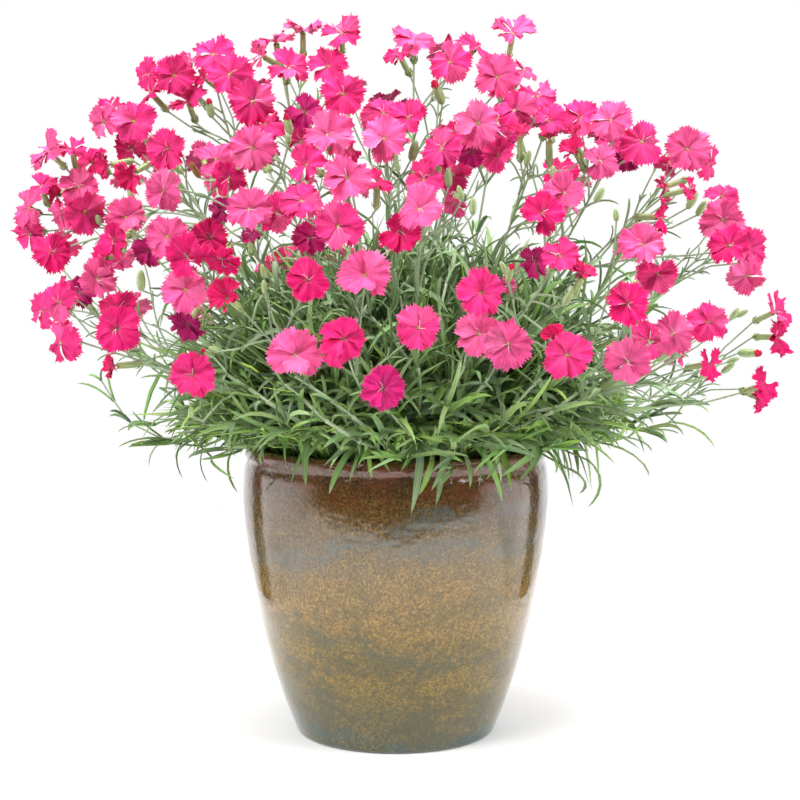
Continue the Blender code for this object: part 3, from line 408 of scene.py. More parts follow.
def sweep(shell, first, pts, s, q, widths):
    """Carry a four sided tube through pts (first ring already made)."""
    last = first
    for i in range(len(pts)):
        c = pts[i]
        if i == 0:
            p = unit(pts[1] - pts[0]) if len(pts) > 1 else np.cross(q, s)
        elif i == len(pts) - 1:
            p = unit(pts[i] - pts[i - 1])
        else:
            p = unit(pts[i + 1] - pts[i - 1])
        s = carry(s, p)
        c2 = np.cross(s, p)
        q = c2 if float(c2 @ q) > 0 else -c2
        ring = shell.ring(square(c, s, q, widths[i]))
        if last is not None:
            shell.bridge(last, ring)
        last = ring
    return last, s, q


def foot_of(head):
    """The lower end of a calyx or bud."""
    if head["kind"] == "B":
        return head["p"] - head["n"] * 0.5 * head["bud"][1]
    return head["p"] - head["n"] * (CALYX_LENGTH + 0.0024)


def tree_of(shell):
    return BVHTree.FromPolygons([tuple(v) for v in shell.v], shell.f, epsilon=0.0)


def box_of(shell):
    a = np.array(shell.v)
    return a.min(axis=0), a.max(axis=0)


class Space:
    """Everything grown so far, for clearance tests."""

    def __init__(self):
        self.items = []
        # the pot's upper wall and lip, a little oversize
        lip = Shell()
        rows = []
        for r, z in ((0.1095, 0.120), (0.1095, 0.1950), (0.1080, 0.2030), (0.1050, 0.2048),
                     (0.0990, 0.2048), (0.0945, 0.2010), (0.0945, 0.120)):
            rows.append(lip.ring([vec(r * math.cos(math.pi * i / 24),
                                      r * math.sin(math.pi * i / 24), z)
                                  for i in range(48)]))
        for a, b in zip(rows, rows[1:] + rows[:1]):
            lip.bridge(a, b)
        self.add(lip, -1)

    def add(self, shell, owner):
        lo, hi = box_of(shell)
        self.items.append((lo, hi, tree_of(shell), owner))

    def free(self, shell):
        a = np.array(shell.v)
        rad = np.hypot(a[:, 0], a[:, 1])
        if np.any((rad > 0.0945) & (rad < 0.1085) & (a[:, 2] < 0.2055)):
            return False
        if np.any((rad >= 0.1085) & (rad < 0.125) & (a[:, 2] < 0.2040)):
            return False
        if np.any((rad <= 0.0945) & (a[:, 2] < SOIL_TOP - 0.0036)):
            return False
        lo, hi = a.min(axis=0), a.max(axis=0)
        tree = None
        for l2, h2, t2, _ in self.items:
            if np.any(lo > h2) or np.any(hi < l2):
                continue
            if tree is None:
                tree = tree_of(shell)
            if tree.overlap(t2):
                return False
        return True


def stem_curve(base, head):
    e = foot_of(head)
    n = head["n"]
    span = float(np.linalg.norm(e - base))
    out = vec(e[0] - base[0], e[1] - base[1], 0)
    out = unit(out) if np.linalg.norm(out) > 1e-6 else vec(0, 0, 0)
    low = max(0.0, 1.0 - (e[2] - base[2]) / 0.12)
    c1 = base + (vec(0, 0, 1) * (0.30 + 0.16 * low) + out * 0.10) * span
    radial = unit(e - np.array(CROWN))
    end = unit(n * 0.62 + radial * 0.62 + vec(0, 0, 0.18))
    c2 = e - end * 0.30 * span
    return base, c1, c2, e


def branch_curve(a, t, head, bow):
    e = foot_of(head)
    n = head["n"]
    span = float(np.linalg.norm(e - a))
    start = unit(t * 0.75 + unit(e - a) * 0.8 + bow)
    c1 = a + start * 0.36 * span
    c2 = e - unit(n * 0.85 + unit(e - a) * 0.35) * 0.34 * span
    return a, c1, c2, e


def crown_bases(groups, heads):
    """Where each flowering stem leaves the soil."""
    pts = []
    for k, g in enumerate(groups):
        m = np.mean([heads[i]["p"] for i in g], axis=0) - np.array(CROWN)
        polar = math.acos(max(-1, min(1, m[2] / np.linalg.norm(m))))
        az = math.atan2(m[1], m[0])
        rr = CROWN_RADIUS * min(1.0, polar / math.radians(78)) ** 0.8
        pts.append([rr * math.cos(az), rr * math.sin(az)])
    pts = np.array(pts)
    for _ in range(200):
        moved = np.zeros_like(pts)
        for i in range(len(pts)):
            d = pts[i] - pts
            dist = np.hypot(d[:, 0], d[:, 1])
            dist[i] = 1
            near = dist < 0.0125
            if near.any():
                moved[i] = (d[near] / np.maximum(dist[near], 1e-5)[:, None]
                            * (0.0125 - dist[near])[:, None]).sum(axis=0) * 0.4
        pts = pts + moved
        rad = np.hypot(pts[:, 0], pts[:, 1])
        over = rad > CROWN_RADIUS
        pts[over] *= (CROWN_RADIUS / rad[over])[:, None]
    return pts


def shifted(head, d):
    h = dict(head)
    h["p"] = head["p"] + unit(head["ray"]) * d
    return h


SHIFTS = (0.0, 0.006, -0.006, 0.012, -0.012, 0.018, -0.018, 0.024, 0.032, 0.042)


def soil_height(x, y):
    k = math.hypot(x, y) / 0.0972
    return SOIL_TOP - SOIL_EDGE_DROP * k * k


def grow_plant():
    heads = surveyed_heads()
    heads = heads + far_heads(heads)
    groups = group_heads(heads)
    bases = crown_bases(groups, heads)
    space = Space()
    stems = []
    order = sorted(range(len(groups)), key=lambda k: -len(groups[k]))
    # main shoots with their end flowers
    for k in order:
        g = groups[k]
        crown = np.array(CROWN)
        mean = unit(np.mean([heads[i]["p"] for i in g], axis=0) - crown)
        rank = sorted(g, key=lambda i: (heads[i]["kind"] == "B", heads[i]["layer"],
                                        -float(unit(heads[i]["n"]) @ mean),
                                        -float((heads[i]["p"] - crown) @ mean)))
        found = None
        for wiggle in ((0, 0), (0.006, 0), (-0.006, 0), (0, 0.006), (0, -0.006),
                       (0.010, 0.006), (-0.010, 0.006), (0.008, -0.010), (-0.008, -0.010)):
            bx, by = bases[k] + np.array(wiggle)
            base = vec(bx, by, soil_height(bx, by) + FIT_GAP)
            for i in rank[:5]:
                for d in SHIFTS:
                    head = shifted(heads[i], d)
                    ctrl = stem_curve(base, head)
                    if min(bezier(*ctrl, t)[2] for t in (0.1, 0.3, 0.5, 0.7)) < base[2]:
                        continue
                    n_low, m = 4, max(1, len(g) - 1)
                    ts = np.linspace(0, 1, 41)
                    line = np.array([bezier(*ctrl, t) for t in ts])
                    seg = np.linalg.norm(np.diff(line, axis=0), axis=1)
                    arc = np.concatenate([[0], np.cumsum(seg)])
                    total = arc[-1]
                    step = min(0.0075, 0.40 * total / (m + 1))
                    hub = max(0.44 * total, total - 0.078)
                    marks = [0.0] + [hub * j / n_low for j in range(1, n_low)]
                    marks += [hub + step * j for j in range(m + 2)]
                    top = marks[-1]
                    marks += [top + (total - top) * 0.5, total]
                    marks[0] = 0.0
                    path = [bezier(*ctrl, float(np.interp(s, arc, ts))) for s in marks]
                    widths = [0.0011 - 0.0004 * (s / total) for s in marks]
                    shell = Shell()
                    last, s, q = sweep(shell, None, path, vec(1, 0, 0), vec(0, 1, 0),
                                       [w + 0.0006 for w in widths])
                    head_rings(shell, last, head, s, q, fat=0.0006)
                    body = Shell()
                    body.v = [v for v in shell.v]
                    body.f = list(shell.f)
                    # the foot stands on the soil: lift the test shape clear
                    for j in range(4):
                        body.v[j] = body.v[j] + vec(0, 0, 0.001)
                    mid = bezier(*ctrl, 0.8)
                    if float((mid - head["p"]) @ head["n"]) > -0.004:
                        continue
                    if space.free(body):
                        found = (i, head, ctrl, path, widths, n_low, m)
                        break
                if found:
                    break
            if found:
                break
        if not found:
            stems.append(None)
            continue
        i, head, ctrl, path, widths, n_low, m = found
        shell = Shell()
        rings = []
        s, q = vec(1, 0, 0), vec(0, 1, 0)
        frames = []
        last = None
        for j in range(len(path)):
            if j == 0:
                p = unit(path[1] - path[0])
            elif j == len(path) - 1:
                p = unit(path[j] - path[j - 1])
            else:
                p = unit(path[j + 1] - path[j - 1])
            if j == 0:
                p = vec(0, 0, 1)
            s = carry(s, p)
            c2 = np.cross(s, p)
            q = c2 if float(c2 @ q) > 0 else -c2
            ring = shell.ring(square(path[j], s, q, widths[j]))
            frames.append((s, q, p))
            rings.append(ring)
        test = Shell()
        last, s2, q2 = sweep(test, None, path, vec(1, 0, 0), vec(0, 1, 0), widths)
        head_rings(test, last, head, s2, q2)
        space.add(test, k)
        stems.append({"k": k, "head": head, "ctrl": ctrl, "path": path, "widths": widths,
                      "rings": rings, "frames": frames, "shell": shell, "n_low": n_low,
                      "m": m, "used": {}, "branches": [], "group": g, "end": i})
    stems = [s for s in stems if s]
    # side shoots, front flowers first
    jobs = []
    for st in stems:
        for i in st["group"]:
            if i != st["end"]:
                jobs.append((heads[i]["layer"], -heads[i]["r"], i, st))
    jobs.sort(key=lambda j: (j[0], j[1], j[2]))
    lost = []
    for _, _, i, st in jobs:
        done = False
        crown = np.array(CROWN)
        slots = [st["n_low"] + j for j in range(st["m"] + 1)]
        head0 = heads[i]
        axis = st["frames"][st["n_low"]][2]
        # the wider a head stands from the shoot, the lower its side shoot
        sizes = [head0["r"], 0.8 * head0["r"], 0.62 * head0["r"]]
        for size in sizes:
            for d in SHIFTS:
                head = shifted(head0, d)
                head["r"] = size
                e = foot_of(head)
                options = []
                for j in slots:
                    mid = 0.5 * (st["path"][j] + st["path"][j + 1])
                    t = unit(st["path"][j + 1] - st["path"][j])
                    gap = e - mid
                    along = float(gap @ t)
                    side = gap - t * along
                    ang = math.degrees(math.atan2(float(np.linalg.norm(side)), along))
                    for face in range(4):
                        if (j, face) in st["used"]:
                            continue
                        ra, rb = st["rings"][j], st["rings"][j + 1]
                        v = st["shell"].v
                        quad = [ra[face], ra[(face + 1) % 4], rb[(face + 1) % 4], rb[face]]
                        c = sum(v[x] for x in quad) / 4
                        nf = unit(c - mid)
                        align = float(nf @ unit(side)) if np.linalg.norm(side) > 1e-5 else 1
                        if align < 0.45:
                            continue
                        crowd = sum(1 for (a, b) in st["used"] if a == j)
                        cost = abs(ang - 42) + 25 * (1 - align) + 14 * crowd
                        options.append((cost, j, face, quad, c, nf, t))
                options.sort(key=lambda o: (round(o[0], 6), o[1], o[2]))
                for cost, j, face, quad, c, nf, t in options[:5]:
                    v = st["shell"].v
                    h = unit(v[quad[1]] - v[quad[0]])
                    a = c + nf * 0.0026 + t * 0.0012
                    side = unit(np.cross(t, nf))
                    for bow in (vec(0, 0, 0), nf * 0.5, side * 0.5, side * -0.5):
                        ctrl = branch_curve(a, t, head, bow)
                        p0 = unit(ctrl[1] - ctrl[0])
                        if float(p0 @ nf) < 0.10 or float(p0 @ t) < -0.3:
                            continue
                        mid = bezier(*ctrl, 0.55)
                        if float((mid - head["p"]) @ head["n"]) > -0.0045:
                            continue
                        s = carry(h, p0)
                        sign = 1.0 if float(np.cross(h, nf) @ t) > 0 else -1.0
                        q = np.cross(s, p0) * sign
                        pts = [a, bezier(*ctrl, 0.5), ctrl[3]]
                        trial = Shell()
                        a2 = bezier(*ctrl, 0.10)
                        s1 = s
                        last, s2, q2 = sweep(trial, None, [a2, pts[1], pts[2]], s1, q,
                                             [0.0012, 0.0012, 0.0013])
                        head_rings(trial, last, head, s2, q2, fat=0.0006)
                        if not space.free(trial):
                            continue
                        real = Shell()
                        last, s2, q2 = sweep(real, None, pts, s, q, [0.0007, 0.0007, 0.0009])
                        head_rings(real, last, head, s2, q2)
                        space.add(real, st["k"])
                        st["used"][(j, face)] = len(st["branches"])
                        st["branches"].append({"head": head, "ctrl": ctrl, "pts": pts,
                                               "s": s, "q": q, "quad": quad, "slot": (j, face),
                                               "i": i})
                        done = True
                        break
                    if done:
                        break
                if done:
                    break
            if done:
                break
        if not done:
            lost.append(heads[i])
    stems.sort(key=lambda s: s["k"])
    return stems, lost, space


def stem_shell(st):
    """One flowering stem as a single closed skin."""
    shell = Shell()
    shell.v = list(st["shell"].v)
    rings = st["rings"]
    shell.cap(rings[0])
    for j in range(len(rings) - 1):
        for face in range(4):
            if (j, face) in st["used"]:
                continue
            shell.f.append((rings[j][face], rings[j][(face + 1) % 4],
                            rings[j + 1][(face + 1) % 4], rings[j + 1][face]))
    s, q, p = st["frames"][-1]
    head_rings(shell, rings[-1], st["head"], s, q)
    for b in st["branches"]:
        last, s, q = sweep(shell, b["quad"], b["pts"], b["s"], b["q"],
                           [0.0007, 0.0007, 0.0009])
        head_rings(shell, last, b["head"], s, q)
    return shell


# ---------------------------------------------------------------------------
# Mesh gathering
# ---------------------------------------------------------------------------
class Batch:
    """Triangles gathered for one piece, with a shape map, a tint and a slot."""

    def __init__(self):
        self.v, self.t, self.uv, self.c, self.m = [], [], [], [], []
        self.n = 0

    def add(self, v, t, uv, tint, slot):
        v = np.asarray(v, dtype=float).reshape(-1, 3)
        t = np.asarray(t, dtype=np.int64).reshape(-1, 3)
        uv = np.asarray(uv, dtype=float).reshape(-1, 2)
        c = np.broadcast_to(np.asarray(tint, dtype=float), (len(v), 4))
        self.v.append(v)
        self.t.append(t + self.n)
        self.uv.append(uv)
        self.c.append(c)
        self.m.append(np.full(len(t), slot, dtype=np.int32))
        self.n += len(v)

    def count(self):
        return int(sum(len(t) for t in self.t))

    def make(self, name, materials, sharp=62.0):
        v = np.concatenate(self.v)
        t = np.concatenate(self.t)
        uv = np.concatenate(self.uv)
        c = np.concatenate(self.c)
        m = np.concatenate(self.m)
        me = bpy.data.meshes.new(name)
        me.vertices.add(len(v))
        me.vertices.foreach_set("co", v.astype(np.float32).ravel())
        me.loops.add(len(t) * 3)
        me.loops.foreach_set("vertex_index", t.astype(np.int32).ravel())
        me.polygons.add(len(t))
        me.polygons.foreach_set("loop_start", np.arange(0, len(t) * 3, 3, dtype=np.int32))
        me.polygons.foreach_set("material_index", m)
        me.update(calc_edges=True)
        layer = me.uv_layers.new(name="shape")
        layer.data.foreach_set("uv", uv[t.ravel()].astype(np.float32).ravel())
        col = me.color_attributes.new("tint", "FLOAT_COLOR", "POINT")
        col.data.foreach_set("color", c.astype(np.float32).ravel())
        me.validate()
        me.shade_smooth()
        me.set_sharp_from_angle(angle=math.radians(sharp))
        obj = bpy.data.objects.new(name, me)
        bpy.context.scene.collection.objects.link(obj)
        for mat in materials:
            me.materials.append(mat)
        return obj


def basis(n, roll=0.0):
    """Two directions across n, turned by roll."""
    n = unit(n)
    a = vec(0, 0, 1) if abs(n[2]) < 0.93 else vec(0, 1, 0)
    s = unit(np.cross(a, n))
    q = np.cross(n, s)
    c, d = math.cos(roll), math.sin(roll)
    return s * c + q * d, q * c - s * d


def tube(pts, radii, sides=6, close=True, around=1.0):
    """Round tube through points with turning-free frames. Returns v, t, uv."""
    pts = np.asarray(pts, dtype=float)
    n = len(pts)
    tan = np.empty_like(pts)
    tan[1:-1] = pts[2:] - pts[:-2]
    tan[0] = pts[1] - pts[0]
    tan[-1] = pts[-1] - pts[-2]
    tan /= np.maximum(np.linalg.norm(tan, axis=1), 1e-9)[:, None]
    s, _ = basis(tan[0])
    rows = []
    ang = np.arange(sides) * 2 * math.pi / sides
    length = np.concatenate([[0], np.cumsum(np.linalg.norm(np.diff(pts, axis=0), axis=1))])
    for i in range(n):
        s = unit(s - tan[i] * float(s @ tan[i]))
        q = np.cross(tan[i], s)
        rows.append(pts[i] + (np.cos(ang)[:, None] * s + np.sin(ang)[:, None] * q) * radii[i])
    v = np.concatenate(rows + [pts[:1], pts[-1:]])
    t = []
    for i in range(n - 1):
        for j in range(sides):
            a, b = i * sides + j, i * sides + (j + 1) % sides
            t.append((a, b, b + sides))
            t.append((a, b + sides, a + sides))
    first, last = n * sides, n * sides + 1
    for j in range(sides):
        t.append((first, (j + 1) % sides, j))
        t.append((last, (n - 1) * sides + j, (n - 1) * sides + (j + 1) % sides))
    u = np.tile(np.abs(np.arange(sides) / sides * 2 - 1) * around, n)
    w = np.repeat(length / max(length[-1], 1e-9), sides)
    uv = np.concatenate([np.stack([u, w], axis=1), [[0, 0], [0, 1]]])
    return v, np.array(t), uv


def open_zip(a, b, first_b, mirror=False):
    """Triangles between two open rows of vertex numbers, outer row second."""
    t = []
    i = j = 0
    n, m = len(a) - 1, len(b) - 1
    while i < n or j < m:
        if i >= n:
            step = True
        elif j >= m:
            step = False
        else:
            ka, kb = (i + 0.5) / n, (j + 0.5) / m
            if abs(ka - kb) < 1e-9:
                step = first_b if (2 * j < m) else (not first_b)
            else:
                step = kb < ka
        if step:
            t.append((a[i], b[j], b[j + 1]))
            j += 1
        else:
            t.append((a[i], b[j], a[i + 1]))
            i += 1
    return t


# ---------------------------------------------------------------------------
# Petals
# ---------------------------------------------------------------------------
PETAL_ROWS = (3, 4, 7, 11, 17, 25, 25)
PETAL_RHO = (0.045, 0.15, 0.32, 0.52, 0.72, 0.875, 1.0)
PETAL_HALF = (40.0, 41.0, 40.5, 41.5, 43.5, 44.5, 43.5)     # degrees either side


def petal_template():
    """Vertex rows and closed skin of one petal: a thin lens with a shared rim."""
    rows, k = [], 0
    for c in PETAL_ROWS:
        rows.append(list(range(k, k + c)))
        k += c
    top = []
    for r in range(len(rows) - 1):
        last = r == len(rows) - 2
        strip = open_zip(rows[r], rows[r + 1], first_b=not last)
        top += strip
    under = {}
    for r in range(1, len(rows) - 1):
        for i in rows[r][1:-1]:
            under[i] = k
            k += 1
    low = [tuple(under.get(x, x) for x in reversed(f)) for f in top]
    rho = np.concatenate([np.full(c, p) for c, p in zip(PETAL_ROWS, PETAL_RHO)])
    across = np.concatenate([np.linspace(-1, 1, c) for c in PETAL_ROWS])
    half = np.concatenate([np.full(c, math.radians(h)) for c, h in zip(PETAL_ROWS, PETAL_HALF)])
    row = np.concatenate([np.full(c, i) for i, c in enumerate(PETAL_ROWS)])
    return rows, np.array(top), np.array(low), under, rho, across, half, row, k


(P_ROWS, P_TOP, P_LOW, P_UNDER, P_RHO, P_ACROSS, P_HALF, P_ROW, P_COUNT) = petal_template()
P_SRC = np.array(list(P_UNDER.keys()))
P_DST = np.array(list(P_UNDER.values()))
P_ALL = np.concatenate([P_TOP, P_LOW])


def petal(rng, size, turn, lift, sag, style):
    """One petal round the axis +Z: its vertices, shape map and side flags."""
    rho = P_RHO.copy()
    a = P_ACROSS
    # toothed rim: short teeth of uneven depth, a few deeper nicks, soft lobes
    rim = P_ROW == len(PETAL_ROWS) - 1
    near = P_ROW == len(PETAL_ROWS) - 2
    n = PETAL_ROWS[-1]
    k = np.arange(n)
    deep = rng.uniform(0.095, 0.150)
    first = rng.integers(0, 2)
    tooth = np.where((k + first) % 2 == 0, 0.0, -deep * rng.uniform(0.55, 1.30, n))
    tooth = tooth + rng.normal(0, 0.014, n)
    for _ in range(rng.integers(1, 4)):
        tooth[rng.integers(2, n - 2)] -= rng.uniform(0.03, 0.08)
    lobe = (0.030 * np.sin(k * rng.uniform(0.40, 0.75) + rng.uniform(0, 6))
            + 0.016 * np.sin(k * rng.uniform(0.95, 1.5) + rng.uniform(0, 6)))
    rho[rim] = 1.020 + tooth + lobe
    rho[near] = 0.860 + lobe * 0.8
    corner = 1 - style["notch"] * np.abs(a) ** 3.4 * np.clip((P_RHO - 0.30) / 0.55, 0, 1)
    rho = rho * corner * style["reach"]
    th = a * P_HALF * style["breadth"]
    th = th + 0.045 * np.sin(P_RHO * 8 + rng.uniform(0, 6)) * a
    # the side edges of the blade are not quite straight
    wave = style["wave"]
    nw = rng.uniform(1.3, 2.9)
    ph = rng.uniform(0, 2 * math.pi)
    z = lift * rho - sag * rho ** 2.2
    z = z + wave * rho ** 2.2 * np.sin(nw * math.pi * a + ph)
    z = z + 0.55 * wave * rho ** 3.5 * np.sin(2.2 * nw * math.pi * a + ph * 1.7)
    z = z + style["lap"] * np.clip(rho, 0, 0.8) * a
    crease = rng.uniform(0.0, 0.06)
    z = z - crease * np.exp(-(a / 0.17) ** 2) * rho * (1.1 - 0.7 * rho)       # midline crease
    z = z + rim * rng.normal(0, 0.028, len(rim))
    # radial pleats, out to the rim
    pleats = rng.uniform(6, 11)
    z = z + (0.017 * np.sin(a * pleats + ph) + 0.007 * np.sin(a * pleats * 1.9 + ph * 2.3)) \
        * np.clip((P_RHO - 0.22) * 1.7, 0, 1)
    z = z - 0.13 * np.exp(-rho / 0.060)
    # curl across the petal's width
    z = z + style["cup"] * rho * a * a
    x = rho * np.cos(th)
    y = rho * np.sin(th)
    # the whole blade turns up about its claw, and may roll to one side
    c, s = math.cos(style["roll"]), math.sin(style["roll"])
    y, z = y * c - z * s, y * s + z * c
    c, s = math.cos(style["fold"]), math.sin(style["fold"])
    x, z = x * c - z * s, x * s + z * c
    p = np.stack([x, y, z], axis=1) * size
    v = np.empty((P_COUNT, 3))
    v[:len(p)] = p
    # underside: a skin below the top, thinner at the rim
    e1 = p[P_TOP[:, 1]] - p[P_TOP[:, 0]]
    e2 = p[P_TOP[:, 2]] - p[P_TOP[:, 0]]
    fn = np.cross(e1, e2)
    vn = np.zeros_like(p)
    for col in range(3):
        np.add.at(vn, P_TOP[:, col], fn)
    vn /= np.maximum(np.linalg.norm(vn, axis=1), 1e-12)[:, None]
    thick = 0.00034 * (1.15 - 0.55 * P_RHO)
    v[P_DST] = p[P_SRC] - vn[P_SRC] * thick[P_SRC][:, None]
    ct, st = math.cos(turn), math.sin(turn)
    v = np.stack([v[:, 0] * ct - v[:, 1] * st, v[:, 0] * st + v[:, 1] * ct, v[:, 2]], axis=1)
    uv = np.empty((P_COUNT, 2))
    uv[:len(p), 0] = a * 0.5 + 0.5
    uv[:len(p), 1] = P_RHO
    uv[P_DST] = uv[P_SRC]
    flag = np.zeros(P_COUNT)
    flag[P_DST] = 1.0
    return v, uv, flag


# petal colours, linear: full light, usual, deep, very deep, young crimson; the deep and very deep ones
# are partly the darker colour of younger flowers, partly painted shade for heads in the clump's shadow
PETAL_TINTS = {"L": (0.895, 0.098, 0.308), "M": (0.850, 0.031, 0.218),
               "D": (0.740, 0.006, 0.145), "V": (0.430, 0.002, 0.118),
               "C": (0.620, 0.004, 0.098)}


def flower(bloom, green, head, rng):
    """Petals, throat and styles to bloom; calyx and its bracts to green."""
    n, r, kind = head["n"], head["r"], head["kind"]
    s, q = basis(n, rng.uniform(0, 2 * math.pi))
    m = np.stack([s, q, n])
    base = np.array(PETAL_TINTS[kind])
    deep = np.array(PETAL_TINTS["D"])
    mix = rng.uniform(-0.10, 0.22)
    base = base * (1 - mix) + (deep if kind in "LM" else np.array(PETAL_TINTS["M"])) * mix
    base = np.clip(base * rng.uniform(0.95, 1.09), 0, 0.98)
    young = kind == "C"
    spread = rng.normal(0.03, 0.09)
    ruffle = rng.uniform(0.7, 1.35)
    odd = rng.integers(0, 5) if rng.random() < 0.85 else -1
    odd_too = rng.integers(0, 5) if rng.random() < 0.35 else -1
    for k in range(5):
        fold = rng.normal(0.0, 0.18) + spread
        if k == odd:
            fold += rng.choice([-0.38, 0.34, 0.58])
        elif k == odd_too:
            fold += rng.choice([-0.24, 0.30])
        if kind == "V":
            fold += 0.12
        if young:
            fold = rng.uniform(0.50, 0.78)
        style = {"wave": rng.uniform(0.075, 0.150) * ruffle, "lap": rng.uniform(0.10, 0.19),
                 "cup": rng.uniform(-0.20, 0.27), "fold": fold,
                 "roll": rng.normal(0, 0.12), "notch": rng.uniform(0.16, 0.32),
                 "reach": rng.uniform(0.93, 1.09), "breadth": rng.uniform(0.96, 1.13)}
        size = r * (1.0 if not young else 1.20)
        turn = 2 * math.pi * k / 5 + rng.normal(0, 0.07)
        v, uv, flag = petal(rng, size, turn, rng.uniform(0.12, 0.32),
                            rng.uniform(0.12, 0.38), style)
        v = v + vec(0, 0, 0.0004 * (k % 2))
        shade = base * (1 + float(np.clip(rng.normal(0, 0.11), -0.24, 0.20)))
        if rng.random() < 0.16 and kind in "LM":
            shade = shade * 0.80 + np.array((0.95, 0.30, 0.52)) * 0.20
        tint = np.empty((len(v), 4))
        tint[:, :3] = np.clip(shade, 0, 0.98)
        # the underside is paler and duller
        pale = np.array((0.62, 0.16, 0.30)) * 0.6 + shade * 0.55
        tint[:, :3] = tint[:, :3] * (1 - 0.7 * flag[:, None]) + pale * 0.7 * flag[:, None]
        tint[:, 3] = rng.random()
        bloom.add(head["p"] + v @ m, P_ALL, uv, np.clip(tint, 0, 1), 0)
    # throat: a small yellow-green cup below the petals' claws
    if not young:
        ang = np.arange(7) * 2 * math.pi / 7
        ring = np.stack([np.cos(ang), np.sin(ang), np.zeros(7)], axis=1)
        rows = [ring * 0.00105 + vec(0, 0, -0.0030), ring * 0.00125 + vec(0, 0, -0.0006),
                ring * 0.00060 + vec(0, 0, 0.0001)]
        v = np.concatenate(rows + [[vec(0, 0, -0.0034)], [vec(0, 0, -0.0007)]])
        t = []
        for i in range(2):
            for j in range(7):
                a, b = i * 7 + j, i * 7 + (j + 1) % 7
                t += [(a, b, b + 7), (a, b + 7, a + 7)]
        for j in range(7):
            t.append((21, (j + 1) % 7, j))
            t.append((22, 14 + j, 14 + (j + 1) % 7))
        dark = kind in "VD"
        tint = (0.20, 0.16, 0.035, rng.random()) if dark else (0.50, 0.50, 0.12, rng.random())
        bloom.add(head["p"] + v @ m, t, np.zeros((len(v), 2)), tint, 1)
        # two thread-like styles
        if rng.random() < 0.62:
            for k in range(2):
                a = rng.uniform(0, 2 * math.pi)
                out = vec(math.cos(a), math.sin(a), 0)
                side = vec(-math.sin(a), math.cos(a), 0)
                hgt = rng.uniform(0.0025, 0.0055)
                path = [vec(0, 0, -0.001), vec(0, 0, 0.45 * hgt) + out * 0.0006,
                        vec(0, 0, 0.85 * hgt) + out * 0.0016 + side * 0.0003,
                        vec(0, 0, hgt) + out * 0.0030 + side * 0.0010,
                        vec(0, 0, 0.85 * hgt) + out * 0.0040 + side * 0.0019]
                v, t, uv = tube(path, [0.00016, 0.00016, 0.00015, 0.00013, 0.00007], 3)
                bloom.add(head["p"] + v @ m, t, uv, (0.86, 0.72, 0.74, rng.random()), 1)
    calyx(green, head, rng, m)


def calyx(green, head, rng, m):
    """Ribbed tube with five pointed teeth and two pairs of bracts."""
    sides = 10
    z0 = -(CALYX_LENGTH + 0.0024)
    ang = np.arange(sides) * 2 * math.pi / sides
    ring = np.stack([np.cos(ang), np.sin(ang), np.zeros(sides)], axis=1)
    fat = rng.uniform(0.84, 1.02)
    spec = [(z0 - 0.0004, 0.0010), (z0 + 0.0012, 0.0017), (z0 + 0.0045, 0.00205),
            (z0 + 0.0090, 0.00215), (-0.0046, 0.00200), (-0.0026, 0.00195)]
    rows = [ring * rr * fat * (1 + 0.05 * (np.arange(sides) % 2)[:, None]) + vec(0, 0, z)
            for z, rr in spec]
    tip = np.where(np.arange(sides) % 2 == 0, 0.0, -0.0021)
    rows.append(ring * 0.00215 * fat + np.stack([np.zeros(sides)] * 2 + [tip - 0.0004], axis=1))
    rows.append(ring * 0.00150 * fat + vec(0, 0, -0.0040))
    n = len(rows)
    v = np.concatenate(rows + [[vec(0, 0, z0 - 0.0006)], [vec(0, 0, -0.0048)]])
    t = []
    for i in range(n - 1):
        for j in range(sides):
            a, b = i * sides + j, i * sides + (j + 1) % sides
            t += [(a, b, b + sides), (a, b + sides, a + sides)]
    for j in range(sides):
        t.append((n * sides, (j + 1) % sides, j))
        t.append((n * sides + 1, (n - 1) * sides + j, (n - 1) * sides + (j + 1) % sides))
    w = np.concatenate([np.full(sides, (z - z0) / CALYX_LENGTH) for z, _ in spec]
                       + [np.full(sides, 1.0), np.full(sides, 0.9), [0, 1]])
    u = np.concatenate([np.arange(sides) % 2] * n + [[0, 0]]).astype(float)
    kind = head["kind"]
    green_tint = np.array((0.330, 0.440, 0.180)) * rng.uniform(0.85, 1.25)
    if rng.random() < 0.3:
        green_tint = green_tint * 0.7 + np.array((0.26, 0.18, 0.08)) * 0.3
    green.add(head["p"] + v @ m, t, np.stack([u, w], axis=1), (*green_tint, rng.random()), 2)
    # bracts hugging the base
    for k in range(4):
        a = math.pi * k / 2 + (0.25 if k % 2 else 0)
        out = vec(math.cos(a), math.sin(a), 0)
        side = vec(-math.sin(a), math.cos(a), 0)
        low = z0 + (0.0 if k % 2 else 0.0008)
        ln = rng.uniform(0.0040, 0.0056)
        pts = [vec(0, 0, low) + out * 0.0011, vec(0, 0, low + 0.35 * ln) + out * 0.0024,
               vec(0, 0, low + 0.75 * ln) + out * 0.0026, vec(0, 0, low + ln) + out * 0.0029]
        w2 = [0.0007, 0.0014, 0.0008, 0.0]
        vv, tt = [], []
        for i in range(3):
            vv += [pts[i] - side * w2[i], pts[i] + out * 0.0003, pts[i] + side * w2[i],
                   pts[i] - out * 0.0002]
        vv.append(pts[3])
        for i in range(2):
            for j in range(4):
                a0, b0 = i * 4 + j, i * 4 + (j + 1) % 4
                tt += [(a0, a0 + 4, b0 + 4), (a0, b0 + 4, b0)]
        for j in range(4):
            tt.append((8 + j, 12, 8 + (j + 1) % 4))
        tt += [(0, 1, 2), (0, 2, 3)]
        uvb = [[0.5, 0.3]] * len(vv)
        green.add(head["p"] + np.array(vv) @ m, tt, uvb, (*(green_tint * 1.1), rng.random()), 2)


